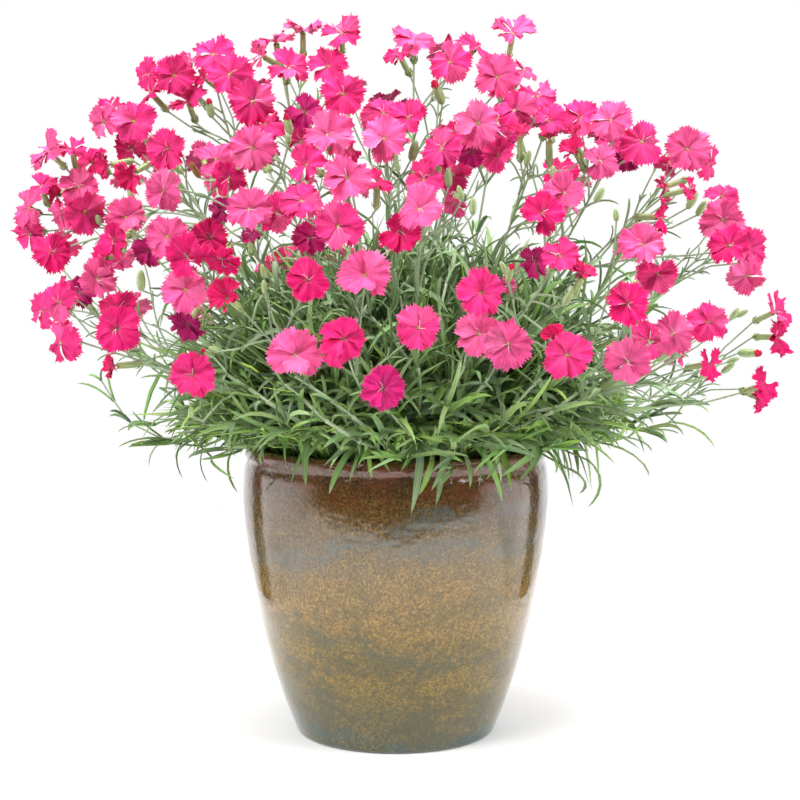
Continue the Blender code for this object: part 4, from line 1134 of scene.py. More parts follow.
def bud(bloom, green, head, rng):
    """An unopened bud: tapering calyx and a furled tip."""
    p, n, r = head["p"], head["n"], head["r"]
    tip_kind, length = head["bud"]
    s, q = basis(n, rng.uniform(0, 6.28))
    m = np.stack([s, q, n])
    sides = 8
    ang = np.arange(sides) * 2 * math.pi / sides
    ring = np.stack([np.cos(ang), np.sin(ang), np.zeros(sides)], axis=1)
    h = 0.5 * length
    spec = [(-h - 0.0003, 0.45), (-0.82 * h, 0.85), (-0.40 * h, 1.05), (0.05 * h, 1.0),
            (0.42 * h, 0.82), (0.66 * h, 0.55)]
    rows = [ring * r * k * (1 + 0.06 * (np.arange(sides) % 2)[:, None]) + vec(0, 0, z)
            for z, k in spec]
    nrow = len(rows)
    v = np.concatenate(rows + [[vec(0, 0, -h - 0.0006)], [vec(0, 0, 0.86 * h)]])
    t = []
    for i in range(nrow - 1):
        for j in range(sides):
            a, b = i * sides + j, i * sides + (j + 1) % sides
            t += [(a, b, b + sides), (a, b + sides, a + sides)]
    for j in range(sides):
        t.append((nrow * sides, (j + 1) % sides, j))
        t.append((nrow * sides + 1, (nrow - 1) * sides + j, (nrow - 1) * sides + (j + 1) % sides))
    w = np.concatenate([np.full(sides, (z + h) / (2 * h)) for z, _ in spec] + [[0, 0.95]])
    u = np.concatenate([np.arange(sides) % 2] * nrow + [[0, 0]]).astype(float)
    tint = np.array((0.34, 0.46, 0.20)) * rng.uniform(0.85, 1.15)
    if tip_kind == "b":
        tint = np.array((0.30, 0.17, 0.06))
    green.add(p + v @ m, t, np.stack([u, w * 0.8], axis=1), (*tint, rng.random()), 2)
    # furled petals at the tip
    if tip_kind in "rb":
        col = (0.56, 0.006, 0.05) if tip_kind == "r" else (0.36, 0.16, 0.05)
        rows = []
        for i, (z, k) in enumerate(((0.30, 0.62), (0.62, 0.74), (0.86, 0.52), (0.99, 0.22))):
            c, d = math.cos(0.5 * i), math.sin(0.5 * i)
            rr = ring[:, :1] * 0 + (1 + 0.18 * np.cos(ang * 3 + i))[:, None]
            row = np.stack([ring[:, 0] * c - ring[:, 1] * d, ring[:, 0] * d + ring[:, 1] * c,
                            np.zeros(sides)], axis=1) * rr * r * k * 1.25
            rows.append(row + vec(0, 0, z * h * 1.05))
        v = np.concatenate(rows + [[vec(0, 0, 0.22 * h)], [vec(0, 0, 1.06 * h)]])
        t = []
        for i in range(3):
            for j in range(sides):
                a, b = i * sides + j, i * sides + (j + 1) % sides
                t += [(a, b, b + sides), (a, b + sides, a + sides)]
        for j in range(sides):
            t.append((4 * sides, (j + 1) % sides, j))
            t.append((4 * sides + 1, 3 * sides + j, 3 * sides + (j + 1) % sides))
        uv = np.concatenate([np.stack([np.abs(ang / math.pi - 1), np.full(sides, 0.3 + 0.2 * i)],
                                      axis=1) for i in range(4)] + [[[0, 0.4], [0, 0.9]]])
        bloom.add(p + v @ m, t, uv, (*col, rng.random()), 0)


# ---------------------------------------------------------------------------
# Leaves
# ---------------------------------------------------------------------------
LEAF_T = np.array([0.0, 0.10, 0.28, 0.48, 0.68, 0.86])
LEAF_W = np.array([0.60, 0.82, 1.00, 1.00, 0.88, 0.54])


def leaf_faces():
    t = []
    n = len(LEAF_T)
    for i in range(n - 1):
        for j in range(4):
            a, b = i * 4 + j, i * 4 + (j + 1) % 4
            t += [(a, b + 4, b), (a, a + 4, b + 4)]
    k = (n - 1) * 4
    for j in range(4):
        t.append((k + j, 4 * n, k + (j + 1) % 4))
    t += [(0, 1, 2), (0, 2, 3)]
    return np.array(t)


LEAF_FACES = leaf_faces()


def leaf_points(ctrl, ts):
    """Bezier points of many leaves: ctrl (L, 4, 3), ts (S,)."""
    ts = np.asarray(ts)
    w = np.stack([(1 - ts) ** 3, 3 * ts * (1 - ts) ** 2, 3 * ts * ts * (1 - ts), ts ** 3])
    return np.einsum("ks,lkx->lsx", w, ctrl)


def leaf_mesh(ctrl, up, width, fold, twist):
    """Closed channelled blades. Returns v (L, 25, 3) and uv (25, 2)."""
    ts = np.concatenate([LEAF_T, [1.0]])
    c = leaf_points(ctrl, ts)
    tan = np.empty_like(c)
    tan[:, 1:-1] = c[:, 2:] - c[:, :-2]
    tan[:, 0] = c[:, 1] - c[:, 0]
    tan[:, -1] = c[:, -1] - c[:, -2]
    tan /= np.maximum(np.linalg.norm(tan, axis=2), 1e-9)[..., None]
    side = np.cross(tan, up[:, None, :])
    side /= np.maximum(np.linalg.norm(side, axis=2), 1e-9)[..., None]
    nor = np.cross(side, tan)
    a = twist[:, None] * ts[None, :]
    ca, sa = np.cos(a)[..., None], np.sin(a)[..., None]
    side, nor = side * ca + nor * sa, nor * ca - side * sa
    w = width[:, None] * LEAF_W[None, :]
    s = len(LEAF_T)
    c6, side6, nor6 = c[:, :s], side[:, :s], nor[:, :s]
    cf, sf = np.cos(fold)[:, None, None], np.sin(fold)[:, None, None]
    left = c6 - side6 * w[..., None] * cf + nor6 * w[..., None] * sf
    right = c6 + side6 * w[..., None] * cf + nor6 * w[..., None] * sf
    th = (0.00022 + 0.055 * w)[..., None]
    low = c6 - nor6 * th * 2.0
    v = np.stack([left, c6, right, low], axis=2).reshape(len(ctrl), s * 4, 3)
    v = np.concatenate([v, c[:, -1:]], axis=1)
    u = np.tile([0.0, 0.5, 1.0, 0.5], s)
    uv = np.concatenate([np.stack([u, np.repeat(LEAF_T, 4)], axis=1), [[0.5, 1.0]]])
    return v, uv


LITE_T = np.array([0.0, 0.22, 0.50, 0.78])
LITE_W = np.array([0.70, 1.00, 0.98, 0.68])


def lite_faces():
    t = []
    n = len(LITE_T)
    for i in range(n - 1):
        for j in range(3):
            a, b = i * 3 + j, i * 3 + (j + 1) % 3
            t += [(a, b + 3, b), (a, a + 3, b + 3)]
    k = (n - 1) * 3
    for j in range(3):
        t.append((k + j, 3 * n, k + (j + 1) % 3))
    t.append((0, 1, 2))
    return np.array(t)


LITE_FACES = lite_faces()


def lite_mesh(ctrl, up, width, twist):
    """Closed blades of three-sided section. Returns v (L, 13, 3) and uv (13, 2)."""
    ts = np.concatenate([LITE_T, [1.0]])
    c = leaf_points(ctrl, ts)
    tan = np.empty_like(c)
    tan[:, 1:-1] = c[:, 2:] - c[:, :-2]
    tan[:, 0] = c[:, 1] - c[:, 0]
    tan[:, -1] = c[:, -1] - c[:, -2]
    tan /= np.maximum(np.linalg.norm(tan, axis=2), 1e-9)[..., None]
    side = np.cross(tan, up[:, None, :])
    side /= np.maximum(np.linalg.norm(side, axis=2), 1e-9)[..., None]
    nor = np.cross(side, tan)
    a = twist[:, None] * ts[None, :]
    ca, sa = np.cos(a)[..., None], np.sin(a)[..., None]
    side, nor = side * ca + nor * sa, nor * ca - side * sa
    s = len(LITE_T)
    w = (width[:, None] * LITE_W[None, :])[..., None]
    c4, side4, nor4 = c[:, :s], side[:, :s], nor[:, :s]
    v = np.stack([c4 - side4 * w + nor4 * w * 0.30, c4 + side4 * w + nor4 * w * 0.30,
                  c4 - nor4 * (0.00022 + 0.16 * w)], axis=2).reshape(len(ctrl), s * 3, 3)
    v = np.concatenate([v, c[:, -1:]], axis=1)
    u = np.tile([0.0, 1.0, 0.5], s)
    uv = np.concatenate([np.stack([u, np.repeat(LITE_T, 3)], axis=1), [[0.5, 1.0]]])
    return v, uv


class Leaves:
    """Leaves waiting to be placed, tested against the flowers and the pot."""

    def __init__(self, heads):
        disc = [h for h in heads if h["kind"] != "B"]
        self.p = np.array([h["p"] for h in disc])
        self.n = np.array([h["n"] for h in disc])
        self.r = np.array([h["r"] for h in disc])
        self.b = np.array([bearing_of(h["p"]) for h in disc])
        self.pr = self.r * SURVEY_SCALE / self.b[:, 2]
        self.near = np.array([not h["back"] for h in disc])
        self.floor = 0.150
        self.graze = 0.96

    def clear(self, pts, strict=True):
        """True if the points of a leaf or shoot miss the flowers and the pot."""
        rad = np.hypot(pts[:, 0], pts[:, 1])
        z = pts[:, 2]
        if np.any((rad > 0.0935) & (rad < 0.1095) & (z < 0.2050)):
            return False
        if np.any((rad >= 0.1095) & (z < 0.1985) & (rad < 0.1110)):
            return False
        if np.any((rad <= 0.0935) & (z < 0.1765)):
            return False
        if np.any(z < self.floor):
            return False
        if np.any(np.abs(pts[:, 0]) > 0.262) or np.any(np.abs(pts[:, 1]) > 0.208):
            return False
        d = pts[:, None, :] - self.p[None]
        along = np.abs(np.einsum("shx,hx->sh", d, self.n))
        dist = np.linalg.norm(d, axis=2)
        if np.any((along < 0.0035) & (dist < self.r[None] * 1.02)):
            return False
        if strict:
            right, fwd, up = survey_axes()
            rel = pts - np.array(SURVEY_POINT)
            depth = rel @ fwd
            x = SURVEY_CENTRE + SURVEY_SCALE * (rel @ right) / depth
            y = SURVEY_CENTRE - SURVEY_SCALE * (rel @ up) / depth
            b, r = self.b[self.near], self.pr[self.near]
            gap = np.hypot(x[:, None] - b[None, :, 0], y[:, None] - b[None, :, 1])
            front = depth[:, None] < b[None, :, 2] - 0.002
            if np.any(front & (gap < r[None] * self.graze)):
                return False
        return True


TEST_T = np.linspace(0.06, 1.0, 9)
GLAUCOUS = np.array((0.262, 0.385, 0.215))
FRESH = np.array((0.400, 0.590, 0.060))
GREEN = np.array((0.176, 0.388, 0.050))
SHADED = np.array((0.060, 0.150, 0.035))


def leaf_tint(rng, p, young=0.0, grassy=0.0):
    """Grey-green high in the clump, yellower low down, some leaves painted darker as if in shade."""
    high = min(1.0, max(0.0, (p[2] - 0.195) / 0.10))
    mix = np.clip(rng.normal(0.30 + 0.50 * high, 0.30), 0, 1)
    t = GLAUCOUS * mix + GREEN * (1 - mix)
    g = min(1.0, grassy + (0.38 * (1 - high) if rng.random() < 0.50 else 0.0))
    t = t * (1 - g) + FRESH * g
    t = t * (1 - 0.3 * young) + np.array((0.32, 0.45, 0.20)) * 0.3 * young
    # painted shade: about one leaf in five is pulled towards SHADED, as if it lay in shadow
    if rng.random() < 0.22:
        t = t * 0.45 + SHADED * 0.55
    t = t * rng.uniform(0.46, 1.50)
    return np.clip(t, 0, 0.9)


def leaf_ctrl(a, d, axis, length, rng, droop):
    """Control points of a leaf from a, leaving along d, recurving outward."""
    out = d - axis * float(d @ axis)
    out = unit(out) if np.linalg.norm(out) > 1e-6 else d
    down = vec(0, 0, -1)
    side = unit(np.cross(axis, out)) * rng.normal(0, 0.10)
    k = droop * rng.uniform(0.5, 1.5)
    c1 = a + d * 0.34 * length
    c2 = a + (unit(d + out * 0.40 * k + side) * 0.70 + down * 0.03 * k) * length
    c3 = a + (unit(d + out * 0.85 * k + side * 2) * 0.94 + down * 0.36 * k) * length
    return np.array([a, c1, c2, c3])


# ---------------------------------------------------------------------------
# Shoots, leaves and stems
# ---------------------------------------------------------------------------
def arc_points(ctrl, n):
    return np.array([bezier(*ctrl, t) for t in np.linspace(0, 1, n)])


def add_leaf_set(green, items, lite=False):
    """items: list of (ctrl, up, width, fold, twist, tint4)."""
    if not items:
        return
    ctrl = np.array([i[0] for i in items])
    up = np.array([i[1] for i in items])
    width = np.array([i[2] for i in items])
    fold = np.array([i[3] for i in items])
    twist = np.array([i[4] for i in items])
    if lite:
        v, uv = lite_mesh(ctrl, up, width, twist)
    else:
        v, uv = leaf_mesh(ctrl, up, width, fold, twist)
    faces = LITE_FACES if lite else LEAF_FACES
    for j, item in enumerate(items):
        green.add(v[j], faces, uv, item[5], 0)


def try_leaf(leaves, rng, a, axis, az, angle, length, width, droop, strict=True, grassy=0.0,
             young=0.0, tries=5):
    """A leaf from a on a shoot along axis, leaving at azimuth az round it."""
    s, q = basis(axis)
    for k in range(tries):
        az2 = az + (0 if k == 0 else rng.normal(0, 0.5))
        an = math.radians(angle + (0 if k == 0 else rng.normal(0, 12)))
        ln = length * (1.0 if k < 2 else 0.8)
        out = s * math.cos(az2) + q * math.sin(az2)
        d = unit(axis * math.cos(an) + out * math.sin(an))
        ctrl = leaf_ctrl(a, d, axis, ln, rng, droop)
        pts = leaf_points(ctrl[None], TEST_T)[0]
        if leaves.clear(pts, strict):
            up = unit(axis * 1.0 + out * -0.25)
            t = unit(ctrl[3] - ctrl[0])
            up = unit(up - t * float(up @ t))
            tint = leaf_tint(rng, a, young, grassy)
            return (ctrl, up, 0.5 * width * rng.uniform(0.85, 1.15), rng.uniform(0.22, 0.62),
                    rng.normal(0, 0.55), (*tint, rng.random()))
    return None


def node_tube(green, pts, arc, marks, r0, r1, tint, sides, slot=1):
    """A shoot whose joints swell where its leaves leave it."""
    total = arc[-1]
    stations = [0.0]
    for s in marks:
        stations += [s - 0.0014, s, s + 0.0012]
    stations += list(np.linspace(0.04 * total, total, max(4, int(total / 0.022))))
    stations = sorted(s for s in stations if 0 <= s <= total)
    keep = [stations[0]]
    for s in stations[1:]:
        if s - keep[-1] > 0.0008:
            keep.append(s)
    keep[-1] = total
    line = np.stack([np.interp(keep, arc, pts[:, i]) for i in range(3)], axis=1)
    rad = []
    for s in keep:
        k = r0 + (r1 - r0) * s / total
        if any(abs(s - m) < 0.0005 for m in marks):
            k *= 1.5
        rad.append(k)
    v, t, uv = tube(line, rad, sides)
    green.add(v, t, uv, tint, slot)


def arc_of(pts):
    return np.concatenate([[0], np.cumsum(np.linalg.norm(np.diff(pts, axis=0), axis=1))])


def at_arc(pts, arc, s):
    p = vec(*[np.interp(s, arc, pts[:, i]) for i in range(3)])
    q = vec(*[np.interp(min(s + 0.002, arc[-1]), arc, pts[:, i]) for i in range(3)])
    o = vec(*[np.interp(max(s - 0.002, 0), arc, pts[:, i]) for i in range(3)])
    return p, unit(q - o)


def stem_tint(rng):
    return (*(np.array((0.315, 0.405, 0.240)) * rng.uniform(0.80, 1.2)), rng.random())


def dress_stem(green, leaves, st, rng):
    """Leaves and tubes of one flowering stem."""
    pts = arc_points(st["ctrl"], 41)
    arc = arc_of(pts)
    total = arc[-1]
    # joints with leaf pairs
    marks = []
    s = rng.uniform(0.008, 0.016)
    gap = rng.uniform(0.013, 0.017)
    while s < total - 0.022:
        marks.append(s)
        s += gap
        gap = min(gap * 1.13, 0.034)
    node_tube(green, pts, arc, marks, 0.00098, 0.00064, stem_tint(rng), 6)
    items = []
    az = rng.uniform(0, math.pi)
    for s in marks:
        p, ax = at_arc(pts, arc, s)
        k = s / total
        from_top = total - s
        length = float(np.interp(from_top, [0.02, 0.05, 0.10, 0.16], [0.010, 0.019, 0.040, 0.058]))
        length *= rng.uniform(0.8, 1.2)
        width = float(np.interp(length, [0.010, 0.025, 0.055], [0.0015, 0.0028, 0.0048]))
        angle = float(np.interp(from_top, [0.02, 0.08, 0.16], [16, 30, 46])) * rng.uniform(0.8, 1.3)
        for side in (0, math.pi):
            out = basis(ax)[0] * math.cos(az + side) + basis(ax)[1] * math.sin(az + side)
            leaf = try_leaf(leaves, rng, p + out * 0.0006, ax, az + side, angle, length, width,
                            0.4 + 0.8 * (from_top > 0.09), tries=4)
            if leaf:
                items.append(leaf)
        az += math.pi / 2 + rng.normal(0, 0.2)
    # side shoots
    for b in st["branches"]:
        j = b["slot"][0]
        start = 0.5 * (st["path"][j] + st["path"][j + 1])
        c = b["ctrl"]
        ctrl = (start, start + (c[1] - c[0]) * 0.9 + (c[0] - start) * 0.6, c[2], c[3])
        bp = arc_points(ctrl, 17)
        ba = arc_of(bp)
        bm = []
        if ba[-1] > 0.030:
            bm.append(ba[-1] * rng.uniform(0.42, 0.6))
        if ba[-1] > 0.062:
            bm.append(ba[-1] * rng.uniform(0.2, 0.3))
        node_tube(green, bp, ba, bm, 0.00074, 0.00056, stem_tint(rng), 5)
        a2 = rng.uniform(0, math.pi)
        for s in bm:
            p, ax = at_arc(bp, ba, s)
            ln = rng.uniform(0.008, 0.017)
            for side in (0, math.pi):
                out = basis(ax)[0] * math.cos(a2 + side) + basis(ax)[1] * math.sin(a2 + side)
                leaf = try_leaf(leaves, rng, p + out * 0.0004, ax, a2 + side,
                                rng.uniform(14, 30), ln, 0.0017, 0.3, tries=3)
                if leaf:
                    items.append(leaf)
        # where the side shoot leaves the stem; no bracts are added there
        p, ax = at_arc(pts, arc, float(np.interp(j, np.arange(len(st["path"])),
                                                 np.linspace(0, total, len(st["path"])))))
    add_leaf_set(green, items)
    return len(items)


MASS_CENTRE = (0.008, 0.0, 0.192)
MASS_RADII = (0.163, 0.150, 0.152)


def leaf_floor(rng, p):
    """How low a leaf at p may hang: mostly no lower than the lip seen past it."""
    front = max(0.0, -p[1]) / max(0.02, math.hypot(p[0], p[1]))
    k = rng.random()
    if k < 0.93:
        return 0.1940 + 0.0215 * front
    return (0.1860 if k < 0.98 else 0.1650) + 0.0120 * front


def leafy_shoot(green, leaves, rng, tip, base, rise, droop=1.0, grassy=0.0, long=1.0,
                upright=0.0, lite=False, sides=5):
    """A shoot without flowers: opposite leaf pairs all the way to its tip."""
    span = float(np.linalg.norm(tip - base))
    out = unit(vec(tip[0] - base[0], tip[1] - base[1], 0.0001))
    a = base
    c1 = a + (vec(0, 0, 1) * rise + out * 0.22) * span
    d = unit(unit(tip - vec(0, 0, 0.175)) + vec(0, 0, 0.25 + 0.9 * upright))
    c2 = tip - d * 0.34 * span
    ctrl = (a, c1, c2, tip)
    pts = arc_points(ctrl, 25)
    leaves.floor = 0.1700
    if not leaves.clear(pts[3:], True):
        return 0
    arc = arc_of(pts)
    total = arc[-1]
    marks = []
    s = max(0.014, 0.22 * total)
    gap = rng.uniform(0.0130, 0.0190)
    while s < total - 0.003:
        marks.append(s)
        s += gap
        gap *= 0.985
    node_tube(green, pts, arc, marks if not lite else marks[::3], 0.00095, 0.00058,
              (*(np.array((0.34, 0.48, 0.13)) * rng.uniform(0.75, 1.25)), rng.random()), sides)
    az = rng.uniform(0, math.pi)
    items = []
    for s in marks + [total]:
        p, ax = at_arc(pts, arc, s)
        k = s / total
        young = max(0.0, (k - 0.8) / 0.2)
        length = rng.uniform(0.036, 0.070) * (1 - 0.42 * young) * long
        width = rng.uniform(0.0032, 0.0058) * (1 - 0.35 * young) * (1 - 0.30 * grassy)
        angle = rng.uniform(22, 64) * (1 - 0.50 * young) * (1 - 0.45 * upright)
        leaves.floor = leaf_floor(rng, p)
        for side in (0, math.pi):
            leaf = try_leaf(leaves, rng, p, ax, az + side, angle, length, width,
                            droop * rng.uniform(0.3, 1.5), tries=4,
                            grassy=grassy * rng.uniform(0.5, 1), young=young)
            if leaf:
                items.append(leaf)
        az += math.pi / 2 + rng.normal(0, 0.22)
    # painted shade: the leaves of the inner shoots, deep in the mass, are darkened as if shaded
    if lite:
        items = [(*i[:5], (*(np.array(i[5][:3]) * 0.66), i[5][3])) for i in items]
    add_leaf_set(green, items, lite)
    return len(items)


def tuft_index(x, y):
    az = math.atan2(y, x) % (2 * math.pi)
    return int(az / (2 * math.pi) * TUFTS) % TUFTS


TUFTS = 8

# Leaves over the lip and at the clump's edge that show singly from the survey
# point: foot across, foot down, tip across, tip down (bearing units), width in
# bearing units, how far the blade arches up on its way (units), greenness.
SHOWN_LEAVES = [
    (313, 428, 306, 486, 6.5, 2, 0.2), (356, 446, 329, 494, 7.0, 6, 0.1),
    (363, 419, 360, 456, 5.0, 2, 0.2), (369, 449, 372, 478, 4.5, 2, 0.4),
    (374, 449, 390, 472, 4.5, 3, 0.3), (364, 432, 404, 460, 7.0, 8, 0.1),
    (421, 446, 411, 514, 8.0, 4, 0.1), (433, 459, 419, 495, 5.5, 3, 0.2),
    (443, 440, 436, 505, 6.5, 3, 0.2), (452, 450, 431, 491, 5.5, 4, 0.2),
    (336, 419, 293, 438, 7.0, 9, 0.0), (298, 408, 247, 432, 7.5, 9, 0.1),
    (242, 449, 188, 459, 6.0, 5, 0.3), (206, 430, 164, 433, 5.0, 4, 0.5),
    (173, 438, 149, 467, 2.2, 6, 0.3), (156, 424, 118, 432, 2.0, 4, 0.4),
    (184, 440, 183, 479, 2.6, 2, 0.4), (233, 450, 238, 493, 5.0, 3, 0.3),
    (213, 458, 235, 479, 3.0, 4, 0.3), (206, 446, 208, 483, 2.2, 2, 0.4),
    (471, 442, 502, 502, 8.5, 6, 0.1), (482, 436, 501, 484, 6.5, 5, 0.1),
    (541, 447, 500, 477, 6.0, 6, 0.2), (540, 449, 518, 482, 5.5, 4, 0.2),
    (542, 426, 569, 482, 6.0, 5, 0.2), (566, 468, 579, 494, 5.0, 2, 0.2),
    (590, 462, 587, 508, 5.0, 2, 0.2), (600, 443, 649, 477, 4.5, 6, 0.2),
    (620, 437, 652, 452, 4.0, 4, 0.3), (643, 430, 679, 434, 3.0, 3, 0.3),
    (632, 422, 683, 414, 5.0, 6, 0.3), (655, 402, 697, 400, 3.5, 4, 0.4),
    (547, 452, 555, 474, 4.5, 2, 0.2), (452, 468, 440, 486, 4.5, 2, 0.2),
    (424, 440, 402, 470, 6.5, 6, 0.1), (463, 452, 470, 487, 5.0, 2, 0.2),
    (500, 446, 486, 480, 5.0, 3, 0.2), (268, 445, 262, 466, 4.0, 2, 0.3),
    (515, 440, 531, 470, 5.5, 4, 0.2), (425, 430, 470, 448, 6.5, 7, 0.1),
    (395, 425, 368, 452, 6.0, 5, 0.1), (455, 405, 490, 432, 7.0, 7, 0.0),
    (268, 415, 232, 446, 6.0, 6, 0.2), (300, 385, 262, 402, 6.0, 6, 0.0),
    (440, 385, 402, 398, 6.0, 6, 0.0), (520, 392, 560, 404, 6.0, 6, 0.0),
    (590, 392, 628, 412, 5.0, 5, 0.2), (560, 410, 602, 428, 5.5, 6, 0.2),
    (350, 392, 322, 420, 6.5, 6, 0.0), (486, 388, 470, 420, 6.0, 4, 0.1)]


# Pale stems that run over the front of the leafy mass, from their upper end
# down to where they dive into it (bearing units), and their half width.
SHOWN_STEMS = [
    (1.5, [(205, 320), (228, 350), (252, 372), (278, 390), (300, 410), (318, 428)]),
    (1.0, [(214, 352), (232, 366), (247, 378), (258, 392)]),
    (1.2, [(243, 291), (262, 318), (280, 336), (296, 350)]),
    (1.4, [(303, 382), (318, 396), (337, 418), (356, 431), (372, 446)]),
    (1.3, [(312, 374), (332, 389), (348, 402), (366, 419), (380, 436)]),
    (1.3, [(358, 292), (374, 312), (396, 340), (412, 362)]),
    (0.8, [(130, 380), (150, 412), (164, 429), (188, 442)]),
    (1.2, [(416, 250), (424, 262), (431, 286), (436, 318)]),
    (1.2, [(508, 290), (503, 302), (498, 330)]),
    (1.4, [(541, 282), (530, 302), (517, 330), (506, 352)]),
    (1.2, [(564, 302), (550, 326), (538, 342), (524, 362)]),
    (1.3, [(635, 262), (630, 290), (617, 317), (606, 342), (590, 368)]),
    (1.2, [(606, 369), (590, 377), (568, 391), (545, 403), (508, 413)]),
    (1.2, [(411, 350), (416, 372), (420, 398)]),
    (1.1, [(481, 360), (470, 382), (462, 402)]),
    (1.2, [(263, 255), (284, 290), (300, 312), (320, 330)]),
    (1.1, [(330, 262), (348, 300), (360, 322), (372, 350)]),
    (1.2, [(455, 346), (452, 372), (440, 402)]),
    (1.2, [(575, 352), (560, 380), (540, 404), (520, 424)]),
    (1.1, [(655, 372), (630, 392), (600, 410), (570, 424)]),
    (1.1, [(196, 392), (216, 410), (238, 424), (262, 434)]),
    (1.0, [(164, 352), (186, 372), (212, 392), (236, 410)]),
    (1.2, [(392, 410), (404, 424), (414, 440)]),
    (1.1, [(534, 340), (520, 372), (500, 400), (490, 420)]),
    (1.1, [(470, 290), (462, 322), (452, 352), (446, 380)]),
    (1.1, [(396, 282), (402, 312), (400, 342)]),
    (1.0, [(608, 300), (596, 330), (580, 360), (560, 384)]),
    (1.1, [(148, 330), (176, 362), (200, 386)])]


def shown_stems(greens, leaves, rng):
    """Stems laid over the front of the mass, each with a few clasping pairs."""
    for half, way in SHOWN_STEMS:
        pts = []
        n = len(way)
        for i, (x, y) in enumerate(way):
            p = mass_front(x, y, 1.0)
            out = unit(vec(p[0], p[1], 0.0001))
            last = i == n - 1
            p = p + out * (0.019 if not last else 0.004) + vec(0, -0.006, 0)
            pts.append(p)
        # on into the mass and down to the soil
        a = pts[-1]
        az = math.atan2(a[1], a[0]) + rng.normal(0, 0.10)
        rb = rng.uniform(0.050, 0.078)
        base = vec(rb * math.cos(az), rb * math.sin(az), 0)
        base[2] = soil_height(base[0], base[1]) - 0.001
        mid = vec(min(1.0, 0.098 / max(1e-6, math.hypot(a[0], a[1]))) * a[0],
                  min(1.0, 0.098 / max(1e-6, math.hypot(a[0], a[1]))) * a[1],
                  max(0.216, 0.35 * a[2] + 0.65 * 0.21))
        if math.hypot(a[0], a[1]) > 0.100:
            pts.append(mid)
        pts.append(base)
        line = np.array(pts[::-1])
        # round the corners
        k = np.concatenate([[0], np.cumsum(np.linalg.norm(np.diff(line, axis=0), axis=1))])
        s = np.linspace(0, k[-1], 40)
        fine = np.stack([np.interp(s, k, line[:, i]) for i in range(3)], axis=1)
        for _ in range(5):
            fine[1:-1] = 0.5 * fine[1:-1] + 0.25 * (fine[:-2] + fine[2:])
        arc = arc_of(fine)
        total = arc[-1]
        marks, m = [], total - rng.uniform(0.012, 0.018)
        while m > 0.45 * total:
            marks.append(m)
            m -= rng.uniform(0.016, 0.026)
        marks = sorted(marks)
        g = greens[tuft_index(a[0], a[1])]
        tone = np.array((0.40, 0.50, 0.31)) * rng.uniform(0.85, 1.15)
        node_tube(g, fine, arc, marks, half * 0.00092, half * 0.00078, (*tone, rng.random()), 6)
        items = []
        turn = rng.uniform(0, math.pi)
        for m in marks + [total]:
            q, ax = at_arc(fine, arc, m)
            ln = rng.uniform(0.014, 0.034) * (0.6 if m == total else 1.0)
            for side in (0, math.pi):
                sdir, qdir = basis(ax)
                out = sdir * math.cos(turn + side) + qdir * math.sin(turn + side)
                leaves.floor = 0.18
                leaf = try_leaf(leaves, rng, q + out * 0.0006, ax, turn + side,
                                rng.uniform(10, 28), ln, rng.uniform(0.0022, 0.0034), 0.3,
                                strict=False, tries=2)
                if leaf:
                    items.append(leaf)
            turn += math.pi / 2 + rng.normal(0, 0.2)
        add_leaf_set(g, items)


def mass_front(across, down, grow=1.0):
    """Where a bearing meets the front of the leafy mass, or of its skirt."""
    origin = np.array(SURVEY_POINT)
    ray = bearing_ray(across, down)
    t0 = 1.03
    best = None
    for t in np.arange(t0, 1.45, 0.0015):
        p = origin + ray * t
        q = (p - np.array(MASS_CENTRE)) / (np.array(MASS_RADII) * 0.86 * grow)
        if p[2] >= 0.192:
            inside = float(q @ q) < 1.0
        else:
            inside = float(q[:2] @ q[:2]) < (1.0 if p[2] > 0.186 else 0.0)
        inside = inside or (math.hypot(p[0], p[1]) < 0.1165 * grow and p[2] < 0.215)
        if inside:
            best = p
            break
    if best is None:
        best = origin + ray * (-float(origin[1]) / float(ray[1]))
    return best


